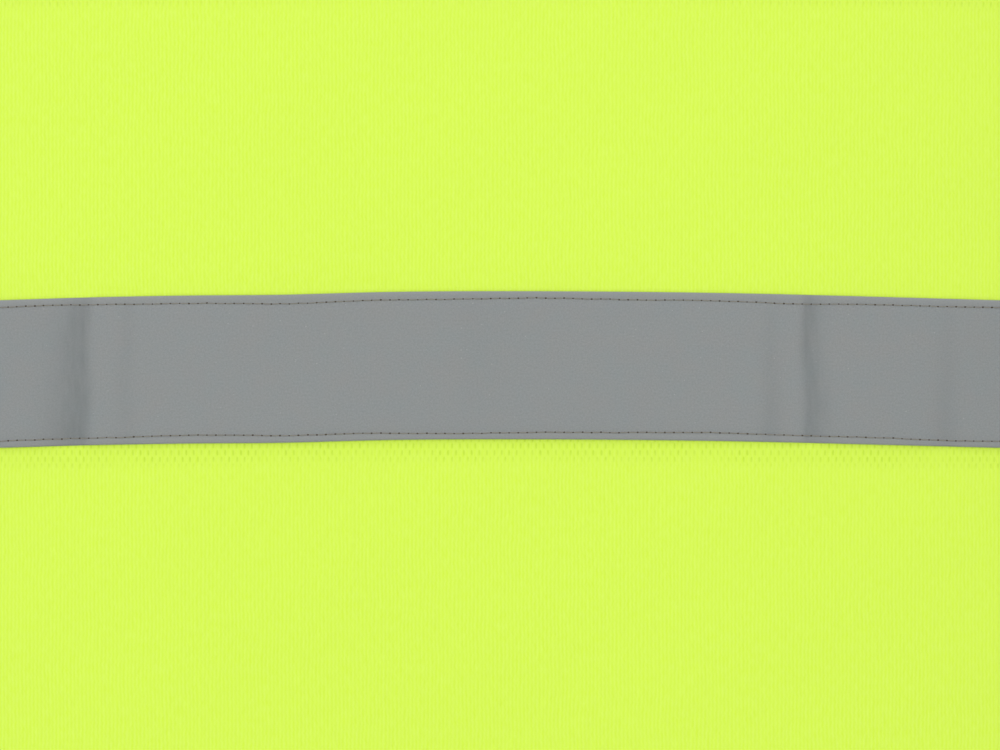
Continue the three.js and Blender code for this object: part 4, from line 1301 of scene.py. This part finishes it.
def ease_edges(piece, width, segments):
    """Rounds the sharp edges of a piece, and smooths its shading between them."""
    pick_piece(piece)
    bevel = piece.modifiers.new("ease", "BEVEL")
    bevel.width, bevel.segments = width * MM, segments
    bevel.limit_method, bevel.angle_limit = "ANGLE", math.radians(35)
    bevel.harden_normals = False
    bpy.ops.object.modifier_apply(modifier=bevel.name)
    bpy.ops.object.shade_smooth_by_angle(angle=math.radians(50))
    return piece


def cast_from(name, node_name):
    """A piece cast to the shape of a frame node, with its facets joined into whole faces."""
    piece = bpy.data.objects.new(name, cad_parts[node_name].data.copy())
    bpy.context.scene.collection.objects.link(piece)
    piece.data.name = name
    piece.data.materials.clear()
    pick_piece(piece)
    bpy.ops.object.mode_set(mode="EDIT")
    bpy.ops.mesh.select_all(action="SELECT")
    bpy.ops.mesh.remove_doubles(threshold=0.002 * MM)
    bpy.ops.mesh.dissolve_limited(angle_limit=math.radians(2))
    bpy.ops.mesh.normals_make_consistent(inside=False)
    bpy.ops.object.mode_set(mode="OBJECT")
    return piece


def gather(name, template, offsets):
    """One mesh of copies of a template's mesh, each moved by an offset in metres."""
    mesh = template.data
    corners = [v.co.copy() for v in mesh.vertices]
    faces = [tuple(p.vertices) for p in mesh.polygons]
    points, all_faces = [], []
    for mirror, offset in offsets:
        start = len(points)
        points += [Vector((mirror * c.x, c.y, c.z)) + offset for c in corners]
        turned = [tuple(start + v for v in (f if mirror > 0 else f[::-1])) for f in faces]
        all_faces += turned
    made = mesh_piece(name, points, all_faces)
    bpy.data.objects.remove(template)
    return made


# ---- Zip --------------------------------------------------------------------------------------------------

teeth_low, teeth_high = (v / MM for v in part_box("left_zip_teeth"))
zip_low, zip_high = (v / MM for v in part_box("left_zip_tape"))
ZIP_PLANE = (zip_low.y + zip_high.y) / 2
TOOTH_PITCH = 3.0
TOOTH_TALL = 1.9


def tooth():
    """A moulded tooth: a foot that grips the tape's beaded edge, a neck and a rounded head."""
    thick = (teeth_high.y - teeth_low.y) / 2
    foot = teeth_low.x + 0.55 * (teeth_high.x - teeth_low.x)
    low = (foot, ZIP_PLANE - thick, -TOOTH_TALL / 2)
    piece = block("tooth", low, (teeth_high.x + 0.1, ZIP_PLANE + thick, TOOTH_TALL / 2))
    pick_faces(piece, lambda middle, normal: normal.x < -0.9)
    reach = foot - teeth_low.x
    draw_out((-reach * 0.4, 0, 0), (1, 0.88, 0.66))
    draw_out((-reach * 0.3, 0, 0), (1, 1.0, 1.3))
    draw_out((-reach * 0.3, 0, 0), (1, 0.7, 0.7))
    close_edit()
    return ease_edges(piece, 0.16, 1)


def zip_side(hand, mirror):
    low, high = (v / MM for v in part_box(f"{hand}_zip_teeth"))
    start = low.z + TOOTH_TALL / 2
    count = int((high.z - TOOTH_TALL / 2 - start) / TOOTH_PITCH)
    shift = 0.0 if mirror > 0 else TOOTH_PITCH / 2
    offsets = [(mirror, Vector((0, 0, (start + shift + i * TOOTH_PITCH) * MM))) for i in range(count)]
    chain = gather(f"zip_teeth_{hand}", tooth(), offsets)
    finish_piece(chain, MOULDING, "zip_moulding", f"{hand}_zip_teeth")
    bead = teeth_high.x - 0.6

    def weave_place(x, g, height):
        thick = 1.9 if abs(x) < bead + 0.9 else 1.0
        return Vector((x, ZIP_PLANE - height * thick, -g)) * MM

    columns = join_spreads((bead, bead + 1.2, 0.4), (bead + 1.2, zip_high.x, 2.8))
    rows = [[(mirror * x, -z) for x in columns] for z in spread(zip_high.z, zip_low.z, 5)]
    cloth = cloth_sheet(f"zip_tape_{hand}", rows, (-0.25, 0.25), weave_place, None, -mirror)
    finish_piece(cloth, ZIP_CLOTH, "zip_cloth", f"{hand}_zip_tape")
    body = f"{hand}_front"
    for piece in (chain, cloth):
        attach(piece, body)
    stop = ease_edges(cast_from(f"zip_top_stop_{hand}", f"{hand}_top_stop"), 0.5, 3)
    finish_piece(stop, MOULDING, "zip_moulding", f"{hand}_top_stop")
    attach(stop, body)
    declare(cloth, zip_high.x - bead, zip_high.z - zip_low.z)


def zip_fittings():
    """The pin, the retainer box, the slider, and the pull with ribs for the fingers."""
    for name, node_name, rounding, segments, material, slot, body in (
        ("zip_insertion_pin", "insertion_pin", 0.6, 3, MOULDING, "zip_moulding", "right_front"),
        ("zip_retainer_box", "retainer_box", 0.22, 2, MOULDING, "zip_moulding", "left_front"),
        ("zip_slider_body", "zip_slider", 0.2, 2, NICKEL, "zip_metal", "slider"),
    ):
        piece = ease_edges(cast_from(name, node_name), rounding, segments)
        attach(finish_piece(piece, material, slot, node_name), body)
    low, high = (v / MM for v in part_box("zip_pull"))
    tab = cast_from("zip_pull_tab", "zip_pull")
    ease_edges(tab, 0.22, 2)
    ribs = []
    middle = (low.x + high.x) / 2
    for i in range(5):
        z = low.z + 4.2 + i * 1.5
        rib = block("rib", (middle - 2.1, low.y - 0.18, z - 0.35), (middle + 2.1, low.y + 0.1, z + 0.35))
        ribs.append(ease_edges(rib, 0.12, 1))
    bpy.ops.object.select_all(action="DESELECT")
    for piece in (*ribs, tab):
        piece.select_set(True)
    bpy.context.view_layer.objects.active = tab
    bpy.ops.object.join()
    finish_piece(tab, NICKEL, "zip_metal", "zip_pull")
    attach(tab, "pull")


def front_topstitch(hand, mirror):
    """Two rows of stitches that hold the folded front edge and the zip's tape."""

    def surface(s, g, height):
        return knit_point(s, g, height) if from_band(s, g) > 0.2 else on_cloth(s, g, TAPE_LAYER[1] + 0.05)

    sewing = Sewing(f"stitching_{hand}_front_edge", YELLOW_THREAD, holes=False)
    levels = spread(FRONT_NECK_DROP + 2, HEM - BINDING_REACH - 1, 4)
    for inwards in (2.6, 8.6):
        places = [(mirror * (FRONT_EDGE + inwards), -g) for g in levels]
        sewing.row(places, KNIT_LAYER[1] + 0.05, 1, surface)
    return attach(sewing.finished(), f"{hand}_front")


# ---- Pen pocket -------------------------------------------------------------------------------------------

pocket_low, pocket_high = (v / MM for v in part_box("pen_pocket"))
flap_low, flap_high = (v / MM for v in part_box("pocket_flap"))
POCKET_FROM = cloth_across(pocket_low.x)
POCKET_WIDE = cloth_across(pocket_high.x) - POCKET_FROM
POCKET_STANDS = 9.4  # how far the pocket's face stands off the cloth
FLANGE = 2.6  # its sewn margin
POCKET_HEM = 12
FLAP_STANDS = 12.4
FLAP_CORNER = 8
FLAP_BEND = 16.0  # length of the flap's curved part
FLAP_TOP = flap_high.z - 0.4  # level of its sewn edge
FLAP_DROP = 8.0  # how far the curved part comes down
FLAP_LIFT = 0.9  # height of its sewn edge above the front


def pocket_height(s, g):
    """How far the pocket's cloth stands off the front: flat along its sewn margin, then out over a soft
    gusset, fuller towards the bottom."""
    side = min(abs(s) - POCKET_FROM, POCKET_FROM + POCKET_WIDE - abs(s))
    up = -g
    low = level_to_cloth(pocket_low.z) - up
    rise = smooth(FLANGE, FLANGE + 5.5, side) * smooth(FLANGE, FLANGE + 8, low)
    share = low / (pocket_high.z - pocket_low.z)
    slack = 0.5 * math.sin(0.11 * abs(s) + 0.05 * low) * math.sin(0.09 * low + 0.6) * (
        1 - smooth(0.55, 0.75, share)
    )
    return 0.75 + (POCKET_STANDS - 0.75 + slack) * rise * (0.93 + 0.07 * smooth(0.0, 0.7, share))


def pen_pocket():
    first, last = POCKET_FROM, POCKET_FROM + POCKET_WIDE
    columns = join_spreads((first, first + 10, 0.9), (first + 10, last - 10, 2.4), (last - 10, last, 0.9))
    top, bottom = level_to_cloth(pocket_high.z), level_to_cloth(pocket_low.z)
    levels = join_spreads((top, bottom - 14, 2.4), (bottom - 14, bottom, 0.9))

    def place(s, g, height):
        turned = 0.45 if height > 0 and -g < top + POCKET_HEM else 0.0
        return on_cloth(s, g, pocket_height(s, g) + height + turned)

    rows = [[(s, -g) for s in columns] for g in levels]
    cloth = cloth_sheet("pen_pocket_cloth", rows, (-0.25, 0.25), place, {"beside_tape": lambda s, g: 0.0}, -1)
    finish_piece(cloth, KNIT, "knit_polyester", "pen_pocket")
    sewing = Sewing("stitching_pen_pocket", YELLOW_THREAD, holes=False)
    inset_line = FLANGE * 0.55
    left, right, low = first + inset_line, last - inset_line, bottom - inset_line
    around = [(left, -g) for g in spread(top + 1, low, 3)] + [(s, -low) for s in spread(left, right, 3)][1:]
    around += [(right, -g) for g in spread(low, top + 1, 3)][1:]
    sewing.row(around, 0.3, 1, place)
    sewing.row([(s, -top - POCKET_HEM + 1.6) for s in spread(first + 3, last - 3, 3)], 0.3, 1, place)
    for s in (left, right):
        tack = []
        for i in range(9):
            at = place(s + (1.3 if i % 2 else -1.3), -(top + 1 + i * 0.8), 0.34) / MM
            tack.append((at, placed(s, -top)[1]))
        sewing.along(tack)
    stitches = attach(sewing.finished(), "left_front")
    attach(cloth, "left_front")
    declare(
        cloth,
        POCKET_WIDE + 2 * POCKET_STANDS,
        bottom - top + POCKET_STANDS,
    )


def flap_path(v):
    """Where the flap's cloth goes at a distance from its sewn edge: its level, its height above the front,
    and the direction out of it, as level and height."""
    if v < FLAP_BEND:
        angle = v / FLAP_BEND * math.pi / 2
        level = FLAP_TOP - FLAP_DROP * (1 - math.cos(angle))
        stands = FLAP_LIFT + (FLAP_STANDS - FLAP_LIFT) * math.sin(angle)
        return level, stands, math.sin(angle), math.cos(angle)
    stands = FLAP_STANDS - 0.4 * smooth(FLAP_BEND, FLAP_BEND + 30, v)
    return FLAP_TOP - FLAP_DROP - (v - FLAP_BEND), stands, 0.0, 1.0


def pocket_flap():
    low_s = cloth_across(flap_low.x) + 0.3
    high_s = cloth_across(flap_high.x) - 0.3
    length = FLAP_BEND + FLAP_TOP - FLAP_DROP - flap_low.z

    def place(s, v, height):
        level, stands, up, out = flap_path(abs(v))
        flat = math.hypot(up, out)
        return on_cloth(s, -level_to_cloth(level + up / flat * height), stands + out / flat * height)

    def reach(s):
        side = min(s - low_s, high_s - s)
        if side >= FLAP_CORNER:
            return length
        return length - FLAP_CORNER + math.sqrt(max(0.0, FLAP_CORNER**2 - (FLAP_CORNER - side) ** 2))

    columns = join_spreads((low_s, low_s + 8, 1.0), (low_s + 8, high_s - 8, 2.8), (high_s - 8, high_s, 1.0))
    shares = spread(0, 1, 0.028)
    rows = [[(s, -reach(s) * f) for s in columns] for f in shares]
    cloth = cloth_sheet("pocket_flap_cloth", rows, (-0.4, 0.4), place, {"beside_tape": lambda s, g: 0.0}, -1)
    finish_piece(cloth, KNIT, "knit_polyester", "pocket_flap")
    sewing = Sewing("stitching_pocket_flap", YELLOW_THREAD, holes=False)
    margin = 3.0
    round_off = FLAP_CORNER - margin
    line = [(low_s + margin, -v) for v in spread(10, length - FLAP_CORNER, 3)]
    for i in range(1, 8):
        angle = math.pi / 2 * i / 8
        s = low_s + FLAP_CORNER - round_off * math.cos(angle)
        line.append((s, -(length - FLAP_CORNER + round_off * math.sin(angle))))
    foot = spread(low_s + FLAP_CORNER, high_s - FLAP_CORNER, 3)
    line += [(s, -(length - margin)) for s in foot]
    line += [(low_s + high_s - s, g) for s, g in reversed(line[: -len(foot)])]
    spots = []
    flat_line = walk(line, STITCH_PITCH, lambda s, g: Vector((s, g, 0)))
    for s, v in flat_line:
        at, above = place(s, v, 0.45), place(s, v, 1.45)
        spots.append((at / MM, (above - at).normalized()))
    sewing.along(spots)
    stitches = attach(sewing.finished(), "flap")
    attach(cloth, "flap")
    declare(cloth, high_s - low_s, length)


def closure_patches():
    """The soft half of the closure on the pocket, and the hooked half under the flap."""
    for name, node_name, body, inner in (
        ("closure_loops", "loop_patch", "left_front", 9.75), ("closure_hooks", "hook_patch", "flap", 11.0)
    ):
        low, high = (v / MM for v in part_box(node_name))
        across = (cloth_across(low.x), cloth_across(high.x))
        hooks = name == "closure_hooks"
        thick = 0.5 if hooks else 0.8
        inner += 0.45 if hooks else 0.0

        def place(s, g, height, inner=inner, thick=thick):
            edge = min(abs(s) - across[0], across[1] - abs(s), 0.8) / 0.8
            fluff = 0.12 * math.sin(2.1 * s + 1.3 * g) * math.sin(1.7 * g - 0.9 * s) * max(0.0, edge)
            return on_cloth(s, g, inner + thick * height + (fluff if not hooks and height > 0.5 else 0.0))

        rows = [[(s, -level_to_cloth(z)) for s in spread(*across, 0.9)] for z in spread(high.z, low.z, 0.9)]
        patch = cloth_sheet(name, rows, (0.0, 1.0), place, None, -1)
        finish_piece(patch, HOOK_AND_LOOP, "hook_and_loop", node_name)
        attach(patch, body)
        if hooks:
            hook_field(across, (low.z, high.z), inner)
        sewing = Sewing(f"stitching_{name}", YELLOW_THREAD, holes=False)
        a, b = across[0] + 1.2, across[1] - 1.2
        c, d = -level_to_cloth(high.z - 1.2), -level_to_cloth(low.z + 1.2)
        sewing.row([(a, c), (b, c), (b, d), (a, d), (a, c)], inner + (0.0 if hooks else thick + 0.05))
        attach(sewing.finished(), body)
        width, tall = across[1] - across[0], high.z - low.z
        declare(
            patch,
            width,
            tall,
        )


def hook_field(across, levels, inner):
    """Rows of moulded nylon hooks, pointing at the pocket."""
    points, faces = [], []
    for i, z in enumerate(spread(levels[0] + 2.4, levels[1] - 2.4, 1.4)):
        for s in spread(across[0] + 2.4 + (i % 2) * 0.6, across[1] - 2.4, 1.4):
            lean = 0.3 if i % 2 else -0.3
            start = len(points)
            for rise, shift, size in (
                (0.0, 0.0, 0.16), (-0.35, 0.0, 0.13), (-0.6, lean * 0.5, 0.13), (-0.55, lean * 1.3, 0.1)
            ):
                for du, dw in ((-1, -1), (1, -1), (1, 1), (-1, 1)):
                    points.append(
                        on_cloth(s + shift + du * size, -level_to_cloth(z + dw * size), inner + rise)
                    )
            for k in range(3):
                for e in range(4):
                    p, q = start + k * 4 + e, start + k * 4 + (e + 1) % 4
                    faces.append((p, q, q + 4, p + 4))
            faces.append(tuple(start + e for e in (3, 2, 1, 0)))
            faces.append(tuple(start + 12 + e for e in (0, 1, 2, 3)))
    field = mesh_piece("closure_hook_rows", points, faces)
    recalculated(field)
    field.data.materials.append(HOOK_AND_LOOP)
    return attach(field, "flap")


def recalculated(piece):
    """Turns a piece's faces outwards."""
    shape = bmesh.new()
    shape.from_mesh(piece.data)
    bmesh.ops.recalc_face_normals(shape, faces=shape.faces)
    shape.to_mesh(piece.data)
    shape.free()


# ---- Labels and hanging loop ------------------------------------------------------------------------------


def label(name, node_name, columns, levels, curl):
    """A blank label, sewn on and curling a little where it is free."""

    def place(s, g, height):
        return on_cloth(s, g, height - 0.75 - curl(s, g))

    rows = [[(s, g) for s in columns] for g in levels]
    hand = 1 if levels[-1] > 0 else -1
    cloth = cloth_sheet(name, rows, (-0.3, 0.0), place, None, hand)
    finish_piece(cloth, LABEL_SATIN, "label_cloth", node_name)
    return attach(cloth, "body")


def labels():
    half = cloth_across(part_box("neck_label")[1].x / MM)
    top, tall = BACK_NECK_DROP + 16, 30
    levels = spread(top, top + tall, 1.5)

    def neck_curl(s, g):
        return 1.1 * smooth(top + 12, top + tall, g) * (0.5 + 0.5 * (abs(s) / half) ** 2)

    cloth = label("neck_label_blank", "neck_label", spread(-half, half, 2), levels, neck_curl)
    sewing = Sewing("stitching_neck_label", WHITE_THREAD, holes=False)
    line = [(s, top + 1.8) for s in spread(-half + 1.5, half - 1.5, 3)]
    sewing.row(line, -1.12, 1)
    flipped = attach(sewing.finished(), "body")
    declare(cloth, 2 * half, tall)

    low, high = (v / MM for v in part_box("care_label"))
    seam, wide = SIDE - 3, 32
    top = level_to_cloth(high.z)
    tall = high.z - low.z

    def care_curl(s, g):
        free = (seam - abs(s)) / wide
        return 0.3 + 1.3 * free**2 * (1 + 0.4 * math.sin(0.09 * (abs(g) - top)))

    columns = spread(seam - wide, seam, 2)
    levels = [-g for g in spread(top, top + tall, 2)]
    cloth = label("care_label_blank", "care_label", columns, levels, care_curl)
    sewing = Sewing("stitching_care_label", WHITE_THREAD, holes=False)
    sewing.row([(seam - 1.6, g) for g in (levels[0], levels[-1])], -1.45, 1)
    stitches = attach(sewing.finished(), "body")
    declare(cloth, wide, tall)


def hanging_loop():
    """A narrow woven tape whose two ends go into the neck binding."""
    low, high = (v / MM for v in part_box("hanger_loop"))
    wide = 6
    half = high.x - wide / 2
    thick = (high.y - low.y) * 0.8
    top = high.z
    drop = high.z - low.z - wide / 2
    middle = (low.y + high.y) / 2
    sections, count = [], 60
    path = [
        Vector(
            (-half * math.cos(math.pi * i / count), 0, -drop * math.sin(math.pi * i / count) ** 0.8)
        ) for i in range(count + 1)
    ]
    outline = (
        (-1, -0.6),
        (-0.92, -1),
        (0, -0.9),
        (0.92, -1),
        (1, -0.6),
        (1, 0.6),
        (0.92, 1),
        (0, 0.9),
        (-0.92, 1),
        (-1, 0.6),
    )
    girths, total = [0.0], 0.0
    for (a0, b0), (a1, b1) in zip(outline, outline[1:]):
        total += math.hypot((a1 - a0) * wide / 2, (b1 - b0) * thick / 2)
        girths.append(total)
    for i, p in enumerate(path):
        along = (path[min(count, i + 1)] - path[max(0, i - 1)]).normalized()
        side = Vector((along.z, 0, -along.x))
        ring = []
        for a, b in outline:
            ring.append((p + side * (a * wide / 2) + Vector((0, middle + b * thick / 2, top))) * MM)
        sections.append(ring)
    strap = swept("hanging_loop_tape", sections, girths)
    finish_piece(strap, BINDING, "woven_binding", "hanger_loop")
    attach(strap, "loop")


# ---- Light, floor and camera ------------------------------------------------------------------------------

FRAME_WIDTH = 338  # width of the back that the camera takes in
CAMERA_DISTANCE = 2600
BAND_ABOVE_CENTRE = 3.3  # the band's middle stands this much above the middle of the view


def camera():
    data = bpy.data.cameras.new("camera")
    data.sensor_width = 36
    data.lens = 36 * CAMERA_DISTANCE / FRAME_WIDTH
    data.clip_end = 100
    made = bpy.data.objects.new("camera", data)
    bpy.context.scene.collection.objects.link(made)
    made.location = (0, (HALF_DEPTH + CAMERA_DISTANCE) * MM, (LOWER_BAND - BAND_ABOVE_CENTRE) * MM)
    made.rotation_euler = (math.radians(90), 0, math.radians(180))
    bpy.context.scene.camera = made


def area_light(name, place, target, size, watts, colour="#ffffff"):
    data = bpy.data.lights.new(name, "AREA")
    data.shape = "RECTANGLE"
    data.size, data.size_y = size
    data.energy = watts
    data.color = linear(colour)[:3]
    made = bpy.data.objects.new(name, data)
    bpy.context.scene.collection.objects.link(made)
    made.location = place
    made.rotation_euler = (Vector(target) - Vector(place)).to_track_quat("-Z", "Y").to_euler()


def studio():
    """A pale floor below the hem, a bright surround, and large soft lights, the strongest from above."""
    bpy.context.scene.view_settings.view_transform = "Standard"
    world = bpy.data.worlds.new("studio")
    bpy.context.scene.world = world
    world.use_nodes = True
    world.node_tree.nodes["Background"].inputs["Color"].default_value = linear("#f4f5f6")
    world.node_tree.nodes["Background"].inputs["Strength"].default_value = 0.62
    middle = (0, 0, -0.4)
    area_light("top_light", (0, 0.9, 2.2), middle, (2.4, 1.6), 34)
    area_light("back_fill", (0.7, 3.0, 0.3), middle, (2.0, 2.0), 26)
    area_light("front_fill", (-0.9, -3.0, 0.5), middle, (2.2, 2.2), 30)
    bpy.ops.mesh.primitive_plane_add(size=14, location=(0, 0, -LENGTH * MM - 0.12))
    floor = bpy.context.object
    floor.name = "floor"
    material, tree = new_finish("matt_paper_floor")
    place = node(tree, "TexCoord", out="Object")
    tooth = node(tree, "TexNoise", place, Scale=40.0, Detail=4.0)
    shade = node(tree, "Mix RGBA", tooth, "#e9e9e7", "#efefed")
    floor.data.materials.append(set_finish(material, Base_Color=shade, Roughness=0.9))


# ---- The vest ---------------------------------------------------------------------------------------------

camera()
studio()

back = back_panel()
fronts = {hand: front_panel(hand, mirror) for hand, mirror in HANDS.items()}
inside_seams = seams()
back_bands()
for hand, mirror in HANDS.items():
    front_bands(hand, mirror)
    shoulder_tape(hand, mirror)
bound = {piece.name: (piece, stitches) for piece, stitches in bindings()}

declare(back, 2 * SIDE, length_down(BRACE_CENTRE, -HEM, 0))
for hand, front in fronts.items():
    declare(front, SIDE - FRONT_EDGE, length_down(HANDS[hand] * BRACE_CENTRE, 0, HEM))

for hand, mirror in HANDS.items():
    zip_side(hand, mirror)
    front_topstitch(hand, mirror)
zip_fittings()
pen_pocket()
pocket_flap()
closure_patches()
labels()
hanging_loop()
